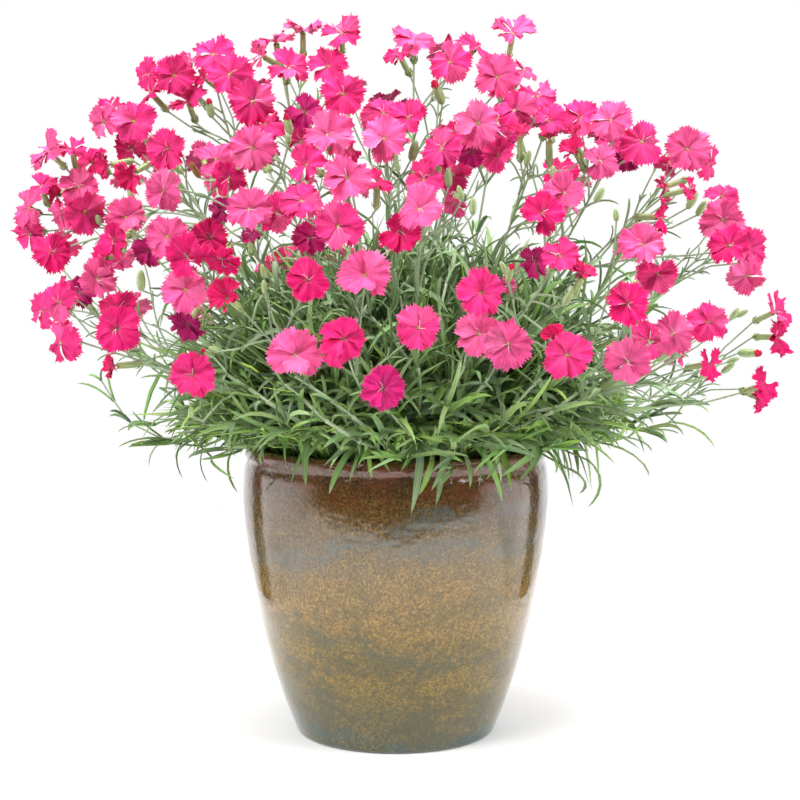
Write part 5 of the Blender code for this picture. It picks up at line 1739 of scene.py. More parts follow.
def shown_leaves(greens, leaves, rng):
    """Each shown leaf leaves a joint at the end of a shoot from the clump."""
    got = 0
    for x0, y0, x1, y1, width, arch, fresh in SHOWN_LEAVES:
        a = mass_front(x0, y0)
        b = mass_front(x1, y1, 1.02)
        if math.hypot(b[0], b[1]) < 0.1175:
            b = b * vec(0.1175 / math.hypot(b[0], b[1]), 0.1175 / math.hypot(b[0], b[1]), 1)
        span = float(np.linalg.norm(b - a))
        out = unit(vec(a[0], a[1], 0))
        lift = arch * 0.0007
        c1 = a + (b - a) * 0.30 + vec(0, 0, 1) * lift * 1.1 + out * (0.004 + 0.10 * span)
        c2 = a + (b - a) * 0.70 + vec(0, 0, 1) * lift * 0.7 + out * (0.004 + 0.08 * span)
        ctrl = np.array([a, c1, c2, b])
        k = tuft_index(a[0], a[1])
        tint = leaf_tint(rng, a, 0, 0.35 * fresh)
        tint = tint * min(rng.uniform(0.70, 0.98), 0.40 / max(0.01, float(np.max(tint[:3]))))
        w = 0.5 * width * 0.00070
        up = unit(vec(0, 0, 0.8) + out * 0.8)
        t = unit(b - a)
        up = unit(up - t * float(up @ t))
        items = [(ctrl, up, w, rng.uniform(0.25, 0.5), rng.normal(0, 0.5),
                  (*np.clip(tint, 0, 0.9), rng.random() * 0.7))]
        # its shoot, from the soil up over the lip
        az = math.atan2(a[1], a[0]) + rng.normal(0, 0.12)
        rb = rng.uniform(0.066, 0.082)
        base = vec(rb * math.cos(az), rb * math.sin(az), 0)
        base[2] = soil_height(base[0], base[1]) - 0.001
        reach = float(np.linalg.norm(a - base))
        rise = max(0.34, (0.232 - base[2]) / reach) if math.hypot(a[0], a[1]) > 0.095 else 0.34
        s1 = base + vec(0, 0, 1) * rise * 0.85 * reach + out * 0.05 * reach
        s2 = a - unit(out * 0.9 + vec(0, 0, -0.15)) * 0.30 * reach + vec(0, 0, 0.010)
        pts = arc_points((base, s1, s2, a), 21)
        arc = arc_of(pts)
        node_tube(greens[k], pts, arc, [arc[-1] - 0.0015], 0.00095, 0.00070,
                  (0.25, 0.36, 0.12, rng.random()), 5)
        # the other leaf of the pair, turned away into the clump
        leaves.floor = 0.199
        axis = unit(pts[-1] - pts[-3])
        for _ in range(2):
            other = try_leaf(leaves, rng, a, axis, rng.uniform(0, 2 * math.pi),
                             rng.uniform(20, 55), rng.uniform(0.030, 0.050),
                             rng.uniform(0.0034, 0.0050), 0.8, tries=3)
            if other:
                items.append(other)
        add_leaf_set(greens[k], items)
        got += len(items)
    return got


def grow_foliage(greens, leaves, rng, shoots=360, inner=170, blades=2300):
    """The leafy mass of the clump: shoots through it and grass-like blades."""
    shown_stems(greens, leaves, rng)
    made = shown_leaves(greens, leaves, rng)
    count = 0
    tries = 0
    while count < shoots + inner and tries < (shoots + inner) * 7:
        tries += 1
        lite = count >= shoots
        az = rng.uniform(0, 2 * math.pi)
        el = math.asin(rng.uniform(-0.04, 1.0))
        if lite:
            k = rng.uniform(0.30, 0.78)
        else:
            k = rng.uniform(0.62, 1.00) if rng.random() < 0.93 else rng.uniform(1.0, 1.20)
        d = vec(math.cos(az) * math.cos(el), math.sin(az) * math.cos(el), math.sin(el))
        tip = np.array(MASS_CENTRE) + d * np.array(MASS_RADII) * k
        if tip[2] < 0.210:
            tip[2] = rng.uniform(0.210, 0.232)
        rb = min(0.080, 0.080 * math.cos(el) ** 0.7 * rng.uniform(0.6, 1.0))
        az_b = az + rng.normal(0, 0.25)
        base = vec(rb * math.cos(az_b), rb * math.sin(az_b), 0)
        base[2] = soil_height(base[0], base[1]) - 0.001
        low = 1.0 if tip[2] < 0.235 else 0.0
        high = min(1.0, max(0.0, (tip[2] - 0.215) / 0.09))
        n = leafy_shoot(greens[tuft_index(tip[0], tip[1])], leaves, rng, tip, base,
                        0.42 + 0.18 * low, droop=rng.uniform(0.35, 1.35) * (1 - 0.5 * high),
                        grassy=0.6 * rng.random() ** 2 * (1 - 0.5 * high),
                        long=1.0 + 0.15 * high, upright=high * rng.uniform(0.3, 1.0),
                        lite=lite, sides=4 if lite else 5)
        if n:
            made += n
            count += 1
    # grass-like blades from the roots, brighter green, fuller near the axis
    items = [[] for _ in greens]
    got = 0
    tries = 0
    leaves.floor = 0.1700
    while got < blades and tries < blades * 6:
        tries += 1
        az = rng.uniform(0, 2 * math.pi)
        tall = rng.random() < 0.55
        rb = 0.088 * math.sqrt(rng.uniform(0.02, 0.96))
        a = vec(rb * math.cos(az), rb * math.sin(az), 0)
        a[2] = soil_height(a[0], a[1]) - 0.001
        az2 = az + rng.normal(0, 0.55)
        out = vec(math.cos(az2), math.sin(az2), 0)
        lean = min(1.0, max(0.0, rng.normal(rb / 0.088, 0.28)))
        length = rng.uniform(0.080, 0.150)
        if tall:
            lean *= 0.55
            length = rng.uniform(0.125, 0.205)
        length = min(length, 0.215 - 0.105 * lean)
        side = vec(-out[1], out[0], 0) * rng.normal(0, 0.12)
        rise = 1.0 - 0.75 * lean
        ctrl = np.array([a, a + (vec(0, 0, 0.36) + out * 0.05 * lean) * length,
                         a + (out * 0.42 * lean + side + vec(0, 0, 0.42 + 0.30 * rise)) * length,
                         a + (out * 0.90 * lean + side * 2
                              + vec(0, 0, 0.26 + 0.72 * rise)) * length])
        pts = leaf_points(ctrl[None], TEST_T)[0]
        if not leaves.clear(pts, True):
            continue
        g = rng.uniform(0.0, 0.45) if rng.random() < 0.8 else rng.uniform(0.5, 0.9)
        tint = leaf_tint(rng, a if not tall else pts[-1], 0, g)
        # painted shade: two blades in five are darkened, as if in the shadow of the mass
        if rng.random() < 0.40:
            tint = tint * 0.55
        up = unit(vec(0, 0, 1) * 0.5 - out * 0.8)
        items[tuft_index(a[0], a[1])].append(
            (ctrl, up, rng.uniform(0.0012, 0.0022), 0.4,
             rng.normal(0, 0.9), (*tint, rng.random() * 0.8)))
        got += 1
    for g, it in zip(greens, items):
        add_leaf_set(g, it, True)
    return made + got


# ---------------------------------------------------------------------------
# Pot and soil
# ---------------------------------------------------------------------------
def smooth_profile(points, per):
    """Catmull-Rom through the profile's points."""
    p = np.array(points, dtype=float)
    out = []
    for i in range(len(p) - 1):
        p0 = p[max(i - 1, 0)]
        p1, p2 = p[i], p[i + 1]
        p3 = p[min(i + 2, len(p) - 1)]
        for k in range(per):
            t = k / per
            out.append(0.5 * (2 * p1 + (p2 - p0) * t + (2 * p0 - 5 * p1 + 4 * p2 - p3) * t * t
                              + (3 * p1 - p0 - 3 * p2 + p3) * t ** 3))
    out.append(p[-1])
    return np.array(out)


def pot_inner(z):
    rs = [p[0] for p in POT_OUTSIDE[2:16]]
    zs = [p[1] for p in POT_OUTSIDE[2:16]]
    return float(np.interp(z, zs, rs)) - POT_WALL


def turned(batch, rows, turns, slot_of, closed, wobble=None):
    """Turn (r, z) rows round Z and yield the triangles between each row and the next; the poles are
    left to the caller.
    """
    n = len(rows)
    ang = np.arange(turns) * 2 * math.pi / turns
    v, uv = [], []
    arc = np.concatenate([[0], np.cumsum(np.linalg.norm(np.diff(rows, axis=0), axis=1))])
    for i, (r, z) in enumerate(rows):
        rr = np.full(turns, r)
        if wobble is not None:
            rr = rr + wobble(ang, z, i)
        v.append(np.stack([rr * np.cos(ang), rr * np.sin(ang), np.full(turns, z)], axis=1))
        uv.append(np.stack([ang / (2 * math.pi), np.full(turns, arc[i] / arc[-1])], axis=1))
    v, uv = np.concatenate(v), np.concatenate(uv)
    for i in range(n if closed else n - 1):
        a = i * turns + np.arange(turns)
        b = i * turns + (np.arange(turns) + 1) % turns
        c = (i + 1) % n * turns + (np.arange(turns) + 1) % turns
        d = (i + 1) % n * turns + np.arange(turns)
        t = np.concatenate([np.stack([a, b, c], axis=1), np.stack([a, c, d], axis=1)])
        yield i, t, v, uv


def build_pot(turns=168):
    batch = Batch()
    outer = smooth_profile(POT_OUTSIDE, 4)
    inner = [(pot_inner(z), z) for z in np.linspace(0.1860, 0.0192, 26)]
    floor = [(0.0648, POT_FLOOR), (0.0400, POT_FLOOR), (DRAIN_RADIUS, POT_FLOOR),
             (DRAIN_RADIUS, 0.0), (0.0400, 0.0)]
    rows = np.concatenate([outer, np.array(inner), np.array(floor)])
    first_inner = len(outer)

    def wobble(ang, z, i):
        # thrown by hand: faint throwing rings and a slightly uneven round
        if i >= first_inner:
            return 0.0 * ang
        if z < 0.004:
            return 0.0 * ang
        k = min(1.0, (z - 0.004) / 0.02)
        ring = 0.00005 * math.sin(z * 310) + 0.000018 * math.sin(z * 870 + 1.3)
        return k * (ring + 0.00022 * np.sin(2 * ang + 0.7 + z * 9) + 0.00014 * np.sin(3 * ang - z * 21))

    v = None
    tris, slots = [], []
    for i, t, v, uv in turned(batch, rows, turns, None, True, wobble):
        slot = 0
        if i >= len(rows) - 2 or i == 0:
            slot = 1                               # bare clay under the foot
        tris.append(t)
        slots.append(np.full(len(t), slot, dtype=np.int32))
    batch.v, batch.t, batch.uv = [v], [np.concatenate(tris)], [uv]
    batch.c = [np.full((len(v), 4), 0.5)]
    batch.m = [np.concatenate(slots)]
    batch.n = len(v)
    return batch


def build_soil(rng, turns=96):
    """Potting soil: a crumbly top, plain sides down to the pot's floor."""
    batch = Batch()
    edge = pot_inner(0.1740) - FIT_GAP
    low = [(0.0002, 0.0160), (0.0200, 0.0160), (0.0235, POT_FLOOR + FIT_GAP),
           (0.0644, POT_FLOOR + FIT_GAP)]
    wall = [(pot_inner(z) - FIT_GAP, z) for z in (0.0192, 0.0485, 0.0785, 0.1075, 0.1370, 0.1640)]
    top = [(edge * k, soil_height(edge * k, 0)) for k in np.linspace(1, 0.02, 34)]
    rows = np.array(low + wall + top + [(0.0002, SOIL_TOP)])
    first_top = len(low) + len(wall)
    tris = []
    for i, t, v, uv in turned(batch, rows, turns, None, False):
        tris.append(t)
    v = v.copy()
    k = np.arange(len(v)) // turns >= first_top + 1
    bump = rng.uniform(-0.0009, 0.0009, len(v))
    x, y = v[:, 0], v[:, 1]
    bump += 0.0007 * np.sin(x * 410 + 2) * np.sin(y * 370) + 0.0006 * np.sin(x * 190 + y * 233)
    v[:, 2] += np.where(k, bump - 0.0008, 0)
    # the poles
    n = len(v)
    v = np.concatenate([v, [[0, 0, 0.0160], [0, 0, SOIL_TOP - 0.0006]]])
    uv = np.concatenate([uv, [[0, 0], [0, 1]]])
    a = np.arange(turns)
    b = (a + 1) % turns
    tris.append(np.stack([np.full(turns, n), b, a], axis=1))
    last = (len(rows) - 1) * turns
    tris.append(np.stack([np.full(turns, n + 1), last + a, last + b], axis=1))
    batch.v, batch.t, batch.uv = [v], [np.concatenate(tris)], [uv]
    batch.c = [np.full((len(v), 4), 0.5)]
    batch.m = [np.zeros(len(batch.t[0]), dtype=np.int32)]
    batch.n = len(v)
    # bark and peat crumbs lying on it
    for _ in range(420):
        az, rr = rng.uniform(0, 2 * math.pi), edge * math.sqrt(rng.random()) * 0.97
        c = vec(rr * math.cos(az), rr * math.sin(az), soil_height(rr, 0) - 0.0003)
        size = rng.uniform(0.0008, 0.0026)
        s, q = basis(vec(rng.normal(), rng.normal(), rng.normal()), 0)
        w = np.cross(s, q)
        oct_v = np.array([s, -s, q * 0.7, -q * 0.7, w * 0.5, -w * 0.5]) * size
        oct_v *= rng.uniform(0.75, 1.25, (6, 1))
        t = []
        for i in (0, 1):
            for j in (2, 3):
                for m in (4, 5):
                    tri = (i, j, m)
                    nrm = np.cross(oct_v[j] - oct_v[i], oct_v[m] - oct_v[i])
                    if float(nrm @ (oct_v[i] + oct_v[j] + oct_v[m])) < 0:
                        tri = (i, m, j)
                    t.append(tri)
        g = rng.uniform(0.3, 0.9)
        batch.add(c + oct_v, t, np.zeros((6, 2)), (g, g, g, rng.random()), 0)
    return batch


# ---------------------------------------------------------------------------
# Materials
# ---------------------------------------------------------------------------
class Nodes:
    """Short hand for building a node material."""

    def __init__(self, name, rough, **fixed):
        self.mat = bpy.data.materials.new(name)
        self.mat.use_nodes = True
        self.tree = self.mat.node_tree
        self.b = self.tree.nodes["Principled BSDF"]
        self.b.inputs["Roughness"].default_value = rough
        for k, v in fixed.items():
            self.b.inputs[k.replace("_", " ")].default_value = v

    def new(self, kind, **props):
        n = self.tree.nodes.new(kind)
        for k, v in props.items():
            setattr(n, k, v)
        return n

    def link(self, a, b):
        self.tree.links.new(a, b)

    def put(self, sock, value):
        if hasattr(value, "is_linked") or hasattr(value, "links"):
            self.link(value, sock)
        else:
            sock.default_value = value

    def math(self, op, a, b=None, c=None, clamp=False):
        n = self.new("ShaderNodeMath", operation=op, use_clamp=clamp)
        for i, x in enumerate((a, b, c)):
            if x is not None:
                self.put(n.inputs[i], x)
        return n.outputs[0]

    def mix(self, fac, a, b, blend="MIX"):
        n = self.new("ShaderNodeMix", data_type="RGBA", blend_type=blend)
        self.put(n.inputs["Factor"], fac)
        self.put(n.inputs[6], a if not isinstance(a, tuple) else (*a, 1)[:4])
        self.put(n.inputs[7], b if not isinstance(b, tuple) else (*b, 1)[:4])
        return n.outputs[2]

    def ramp(self, fac, stops, interp="LINEAR"):
        n = self.new("ShaderNodeValToRGB")
        n.color_ramp.interpolation = interp
        e = n.color_ramp.elements
        while len(e) < len(stops):
            e.new(0.5)
        for i, (p, c) in enumerate(stops):
            e[i].position = p
            e[i].color = (*c, 1) if isinstance(c, tuple) else (c, c, c, 1)
        self.put(n.inputs[0], fac)
        return n.outputs[0]

    def noise(self, vector, scale, detail=2.0, rough=0.5, distortion=0.0, dims="3D", w=None):
        n = self.new("ShaderNodeTexNoise", noise_dimensions=dims)
        if vector is not None:
            self.link(vector, n.inputs["Vector"])
        n.inputs["Scale"].default_value = scale
        n.inputs["Detail"].default_value = detail
        n.inputs["Roughness"].default_value = rough
        n.inputs["Distortion"].default_value = distortion
        if w is not None:
            self.put(n.inputs["W"], w)
        return n.outputs["Fac"]

    def combine(self, x, y, z):
        n = self.new("ShaderNodeCombineXYZ")
        for i, a in enumerate((x, y, z)):
            self.put(n.inputs[i], a)
        return n.outputs[0]

    def tint(self):
        n = self.new("ShaderNodeAttribute", attribute_name="tint")
        return n.outputs["Color"], n.outputs["Alpha"]

    def shape(self):
        n = self.new("ShaderNodeUVMap", uv_map="shape")
        s = self.new("ShaderNodeSeparateXYZ")
        self.link(n.outputs[0], s.inputs[0])
        return s.outputs[0], s.outputs[1]

    def place(self):
        return self.new("ShaderNodeTexCoord").outputs["Object"]

    def bump(self, height, strength, distance):
        n = self.new("ShaderNodeBump")
        n.inputs["Strength"].default_value = strength
        n.inputs["Distance"].default_value = distance
        self.link(height, n.inputs["Height"])
        self.link(n.outputs[0], self.b.inputs["Normal"])

    def colour(self, out):
        self.link(out, self.b.inputs["Base Color"])

    def roughness(self, out):
        self.link(out, self.b.inputs["Roughness"])


def petal_material():
    m = Nodes("petal_velvet", 0.62)
    m.b.inputs["Specular IOR Level"].default_value = 0.16
    tint, alpha = m.tint()
    u, v = m.shape()
    seed = m.math("MULTIPLY", alpha, 37.0)

    def along(across, out, detail=2.0):
        return m.noise(m.combine(m.math("MULTIPLY", u, across), m.math("MULTIPLY", v, out),
                                 seed), 1.0, detail, 0.6)

    wide = along(6.0, 0.9)
    fine = along(40.0, 1.8)
    middle = along(15.0, 1.2)
    # painted shade and highlight of soft pleats: lighter crests, deeper valleys out to the rim, from a
    # noise rather than from the mesh's folds
    pleat = m.ramp(middle, [(0.34, 0.82), (0.50, 1.0), (0.66, 1.14)])
    col = m.mix(m.ramp(v, [(0.10, 0.35), (0.45, 1.0)]), tint, m.mix(1.0, tint, pleat, "MULTIPLY"))
    # paler flares and hairs that run out from the throat
    pale = m.mix(0.24, tint, (1.0, 0.42, 0.70))
    inner = m.ramp(v, [(0.05, 0.25), (0.18, 0.80), (0.45, 0.55), (0.75, 0.16), (1.0, 0.0)])
    streak = m.math("MULTIPLY", m.ramp(wide, [(0.46, 0.0), (0.66, 1.0)]), inner)
    hair = m.math("MULTIPLY", m.ramp(fine, [(0.52, 0.0), (0.72, 1.0)]), inner)
    col = m.mix(m.math("MULTIPLY", streak, 0.62), col, pale)
    col = m.mix(m.math("MULTIPLY", hair, 0.34), col, pale)
    # fine veins
    vein = m.ramp(fine, [(0.32, 0.86), (0.52, 1.02), (0.72, 1.13)])
    col = m.mix(1.0, col, vein, "MULTIPLY")
    # painted shade: deep colour where two petals meet near the throat, standing in for the shadow in
    # the gap between them
    side = m.math("ABSOLUTE", m.math("SUBTRACT", m.math("MULTIPLY", u, 2.0), 1.0))
    edge = m.math("MULTIPLY", m.ramp(side, [(0.80, 0.0), (0.99, 1.0)]),
                  m.ramp(v, [(0.10, 1.0), (0.40, 0.60), (0.70, 0.0)]))
    col = m.mix(m.math("MULTIPLY", edge, 0.70), col,
                m.mix(1.0, tint, (0.36, 0.20, 0.34), "MULTIPLY"))
    # the side tucked under its neighbour lies in its shade
    under = m.mix(m.ramp(v, [(0.10, 1.0), (0.60, 0.8), (0.92, 0.25)]), (1.0, 1.0, 1.0),
                  m.ramp(u, [(0.0, 0.64), (0.09, 0.82), (0.24, 1.0)]), "MULTIPLY")
    col = m.mix(1.0, col, under, "MULTIPLY")
    # the toothed margin catches a little more light
    lip = m.ramp(v, [(0.88, 0.0), (1.0, 1.0)])
    col = m.mix(m.math("MULTIPLY", lip, 0.34), col, pale)
    # broad cloudy change of tone
    cloud = m.noise(m.place(), 230.0, 2.0)
    col = m.mix(1.0, col, m.ramp(cloud, [(0.28, 0.84), (0.72, 1.13)]), "MULTIPLY")
    # the very throat is pale
    throat = m.ramp(v, [(0.03, 1.0), (0.13, 0.35), (0.22, 0.0)])
    col = m.mix(m.math("MULTIPLY", throat, 0.22), col, (0.82, 0.50, 0.45))
    m.colour(col)
    m.roughness(m.ramp(fine, [(0.2, 0.70), (0.8, 0.52)]))
    m.bump(m.math("ADD", m.math("MULTIPLY", fine, 0.35), middle), 0.8, 0.0007)
    return m.mat


def throat_material():
    m = Nodes("throat_and_styles", 0.5)
    tint, alpha = m.tint()
    n = m.noise(m.place(), 900.0, 2.0)
    m.colour(m.mix(1.0, tint, m.ramp(n, [(0.2, 0.75), (0.8, 1.15)]), "MULTIPLY"))
    m.roughness(m.ramp(n, [(0.2, 0.6), (0.8, 0.4)]))
    m.bump(n, 0.3, 0.0002)
    return m.mat


def leaf_material():
    m = Nodes("leaf_glaucous", 0.52)
    m.b.inputs["Specular IOR Level"].default_value = 0.42
    tint, alpha = m.tint()
    u, v = m.shape()
    seed = m.math("MULTIPLY", alpha, 41.0)
    vein = m.noise(m.combine(m.math("MULTIPLY", u, 15.0), m.math("MULTIPLY", v, 1.3), seed),
                   1.0, 2.0, 0.6)
    col = m.mix(1.0, tint, m.ramp(vein, [(0.28, 0.78), (0.72, 1.18)]), "MULTIPLY")
    # waxy grey-blue bloom in patches
    wax = m.noise(m.place(), 95.0, 3.0, 0.6)
    wax = m.math("MULTIPLY", m.ramp(wax, [(0.40, 0.0), (0.70, 1.0)]), 0.22)
    col = m.mix(wax, col, (0.34, 0.45, 0.36))
    # pale midrib, and paler margins: the margins are partly a paler waxy edge, partly painted highlight
    # where the edges catch the light
    mid = m.math("ABSOLUTE", m.math("SUBTRACT", u, 0.5))
    rib = m.ramp(mid, [(0.02, 1.0), (0.075, 0.0)])
    col = m.mix(m.math("MULTIPLY", rib, 0.50), col, (0.42, 0.56, 0.30))
    rim = m.ramp(mid, [(0.44, 0.0), (0.495, 1.0)])
    col = m.mix(m.math("MULTIPLY", rim, 0.30), col, (0.40, 0.50, 0.32))
    # painted shade: darker towards the base, where the leaves start deep in the clump, lighter to the
    # tip; some tips straw coloured
    col = m.mix(1.0, col, m.ramp(v, [(0.0, 0.56), (0.30, 0.94), (1.0, 1.10)]), "MULTIPLY")
    dry = m.math("MULTIPLY", m.ramp(v, [(0.90, 0.0), (1.0, 1.0)]),
                 m.ramp(alpha, [(0.80, 0.0), (0.86, 1.0)]))
    col = m.mix(m.math("MULTIPLY", dry, 0.7), col, (0.42, 0.26, 0.09))
    m.colour(col)
    m.roughness(m.ramp(vein, [(0.2, 0.62), (0.8, 0.42)]))
    m.bump(m.math("ADD", vein, m.math("MULTIPLY", rib, -0.5)), 0.5, 0.00035)
    return m.mat


def stem_material():
    m = Nodes("stem_waxy", 0.5)
    tint, alpha = m.tint()
    u, v = m.shape()
    n = m.noise(m.place(), 420.0, 3.0, 0.6)
    streak = m.noise(m.combine(m.math("MULTIPLY", u, 9.0), m.math("MULTIPLY", v, 9.0), alpha),
                     1.0, 2.0)
    col = m.mix(1.0, tint, m.ramp(streak, [(0.25, 0.80), (0.75, 1.15)]), "MULTIPLY")
    col = m.mix(m.math("MULTIPLY", m.ramp(n, [(0.4, 0.0), (0.7, 1.0)]), 0.35), col,
                (0.38, 0.47, 0.36))
    m.colour(col)
    m.roughness(m.ramp(n, [(0.2, 0.62), (0.8, 0.42)]))
    m.bump(n, 0.3, 0.0002)
    return m.mat


def calyx_material():
    m = Nodes("calyx_ribbed", 0.5)
    tint, alpha = m.tint()
    u, v = m.shape()
    rib = m.ramp(u, [(0.0, 0.80), (0.6, 1.0), (1.0, 1.22)])
    n = m.noise(m.place(), 520.0, 3.0, 0.6)
    col = m.mix(1.0, tint, rib, "MULTIPLY")
    col = m.mix(1.0, col, m.ramp(n, [(0.25, 0.80), (0.75, 1.15)]), "MULTIPLY")
    tip = m.ramp(v, [(0.74, 0.0), (1.0, 1.0)])
    col = m.mix(m.math("MULTIPLY", tip, 0.6), col, (0.42, 0.36, 0.11))
    flush = m.math("MULTIPLY", m.ramp(alpha, [(0.6, 0.0), (1.0, 0.25)]),
                   m.ramp(v, [(0.1, 0.0), (0.6, 1.0), (1.0, 0.2)]))
    col = m.mix(flush, col, (0.24, 0.06, 0.06))
    base = m.ramp(v, [(0.0, 1.0), (0.20, 0.0)])
    col = m.mix(m.math("MULTIPLY", base, 0.35), col, (0.30, 0.40, 0.26))
    m.colour(col)
    m.roughness(m.ramp(n, [(0.2, 0.6), (0.8, 0.4)]))
    m.bump(m.math("ADD", n, u), 0.45, 0.00025)
    return m.mat


def glaze_material():
    m = Nodes("pot_glaze", 0.10, Coat_Weight=0.62, Coat_Roughness=0.03)
    m.b.inputs["Specular IOR Level"].default_value = 0.55
    pos = m.place()
    sep = m.new("ShaderNodeSeparateXYZ")
    m.link(pos, sep.inputs[0])
    x, y, z = sep.outputs

    def stretched(across, up, detail, rough=0.55, bend=0.0):
        return m.noise(m.combine(m.math("MULTIPLY", x, across), m.math("MULTIPLY", y, across),
                                 m.math("MULTIPLY", z, up)), 1.0, detail, rough, bend)

    # slow drift that bends every band
    drift = stretched(9.0, 14.0, 3.0)
    sway = m.math("MULTIPLY", m.math("SUBTRACT", drift, 0.5), 0.062)
    ripple = stretched(55.0, 90.0, 4.0, 0.62)
    sway2 = m.math("MULTIPLY", m.math("SUBTRACT", ripple, 0.5), 0.020)
    h = m.math("ADD", m.math("ADD", z, sway), sway2)
    # base colour against height: green-grey foot, olive, ochre, olive, rust shoulder
    k = m.math("DIVIDE", h, 0.2027)
    body = m.ramp(k, [(0.00, (0.066, 0.066, 0.024)), (0.10, (0.116, 0.090, 0.018)),
                      (0.22, (0.176, 0.114, 0.014)), (0.34, (0.184, 0.116, 0.016)),
                      (0.50, (0.222, 0.128, 0.026)), (0.64, (0.190, 0.116, 0.032)),
                      (0.76, (0.140, 0.088, 0.028)), (0.86, (0.100, 0.052, 0.014)),
                      (0.94, (0.080, 0.026, 0.008)), (1.00, (0.135, 0.040, 0.018))])
    # speckle of the glaze, two sizes
    grain = m.noise(pos, 590.0, 3.0, 0.66, 0.4)
    grain2 = m.noise(pos, 1500.0, 2.0, 0.65)
    col = m.mix(1.0, body, m.ramp(grain, [(0.36, 0.50), (0.50, 1.0), (0.64, 1.58)]), "MULTIPLY")
    col = m.mix(1.0, col, m.ramp(grain2, [(0.34, 0.66), (0.5, 1.0), (0.66, 1.36)]), "MULTIPLY")
    # ochre freckles
    col = m.mix(m.math("MULTIPLY", m.ramp(grain, [(0.52, 0.0), (0.66, 1.0)]), 0.36), col,
                (0.35, 0.200, 0.045))
    # dark olive clouds, streaky and mostly in the lower half
    cloud = stretched(30.0, 62.0, 5.0, 0.66, 0.5)
    fleck = m.noise(pos, 210.0, 4.0, 0.7)
    mott = m.math("ADD", m.math("MULTIPLY", cloud, 0.62), m.math("MULTIPLY", fleck, 0.38))
    low_half = m.ramp(k, [(0.0, 0.95), (0.42, 0.85), (0.62, 0.40), (0.9, 0.25)])
    mott = m.math("MULTIPLY", m.ramp(mott, [(0.480, 0.0), (0.545, 1.0)]), low_half)
    col = m.mix(m.math("MULTIPLY", mott, 0.66), col, (0.054, 0.055, 0.018))
    # blue-grey wavy bands
    b1 = m.math("SUBTRACT", h, 0.1420)
    b2 = m.math("SUBTRACT", m.math("SUBTRACT", h, m.math("MULTIPLY", x, 0.20)), 0.1560)
    b3 = m.math("SUBTRACT", m.math("ADD", h, m.math("MULTIPLY", x, 0.11)), 0.0690)
    b4 = m.math("SUBTRACT", h, 0.0300)

    def band(d, half, sharp):
        a = m.math("ABSOLUTE", d)
        return m.math("SUBTRACT", 1.0, m.math("DIVIDE", m.math("SUBTRACT", a, half), sharp),
                      clamp=True)
    patch = stretched(22.0, 60.0, 4.0, 0.6)
    breaks = m.ramp(patch, [(0.38, 0.0), (0.56, 1.0)])
    blue_f = m.noise(pos, 430.0, 3.0, 0.68, 0.4)
    flecked = m.ramp(blue_f, [(0.38, 0.15), (0.56, 1.0)])
    soft = m.math("MULTIPLY", band(b1, 0.0030, 0.013), 0.80)
    soft = m.math("MAXIMUM", soft, m.math("MULTIPLY", band(b2, 0.0016, 0.008), 0.85))
    soft = m.math("MULTIPLY", m.math("MULTIPLY", soft, breaks), flecked)
    col = m.mix(soft, col, (0.100, 0.118, 0.112))
    dark = m.math("MULTIPLY", band(b3, 0.0012, 0.0075), 0.62)
    dark = m.math("MAXIMUM", dark, m.math("MULTIPLY", band(b4, 0.0030, 0.014), 0.50))
    dark = m.math("MULTIPLY", dark, m.ramp(patch, [(0.30, 0.35), (0.52, 1.0)]))
    dark = m.math("MULTIPLY", dark, flecked)
    col = m.mix(dark, col, (0.060, 0.070, 0.040))
    # rust breaking through at the rim, darker runs below it
    rust = m.math("MULTIPLY", m.ramp(k, [(0.82, 0.0), (0.93, 1.0)]),
                  m.ramp(ripple, [(0.42, 0.0), (0.62, 1.0)]))
    col = m.mix(m.math("MULTIPLY", rust, 0.62), col, (0.21, 0.058, 0.020))
    runs = stretched(60.0, 7.0, 3.0, 0.6)
    runs = m.math("MULTIPLY", m.ramp(runs, [(0.50, 0.0), (0.66, 1.0)]),
                  m.ramp(k, [(0.62, 0.0), (0.80, 1.0), (0.97, 0.6)]))
    col = m.mix(m.math("MULTIPLY", runs, 0.55), col, (0.036, 0.022, 0.008))
    # teal where the glaze gathered near the foot
    pool = m.math("MULTIPLY", m.ramp(k, [(0.0, 1.0), (0.055, 0.7), (0.10, 0.0)]),
                  m.ramp(patch, [(0.40, 0.0), (0.58, 1.0)]))
    col = m.mix(m.math("MULTIPLY", pool, 0.75), col, (0.022, 0.085, 0.095))
    m.colour(col)
    m.roughness(m.ramp(grain, [(0.2, 0.17), (0.8, 0.09)]))
    # the thrown wall is a little uneven, the lip more so
    low = stretched(30.0, 44.0, 3.0, 0.55)
    lip = m.math("MULTIPLY", m.ramp(z, [(0.183, 0.0), (0.194, 1.0)]),
                 stretched(75.0, 160.0, 3.0, 0.6))
    height = m.math("ADD", m.math("MULTIPLY", low, 1.0), m.math("MULTIPLY", grain, 0.030))
    height = m.math("ADD", height, m.math("MULTIPLY", lip, 1.5))
    # small ripples of the poured glaze, finer ones drawn out downwards
    height = m.math("ADD", height, m.math("MULTIPLY", stretched(150.0, 105.0, 3.0, 0.6), 0.17))
    height = m.math("ADD", height, m.math("MULTIPLY", stretched(430.0, 120.0, 2.0, 0.6), 0.040))
    m.bump(height, 0.75, 0.0019)
    return m.mat


def clay_material():
    m = Nodes("bare_stoneware", 0.85)
    n = m.noise(m.place(), 300.0, 4.0, 0.6)
    m.colour(m.ramp(n, [(0.2, (0.20, 0.12, 0.07)), (0.8, (0.42, 0.28, 0.18))]))
    m.roughness(m.ramp(n, [(0.2, 0.8), (0.8, 0.95)]))
    m.bump(n, 0.6, 0.0006)
    return m.mat


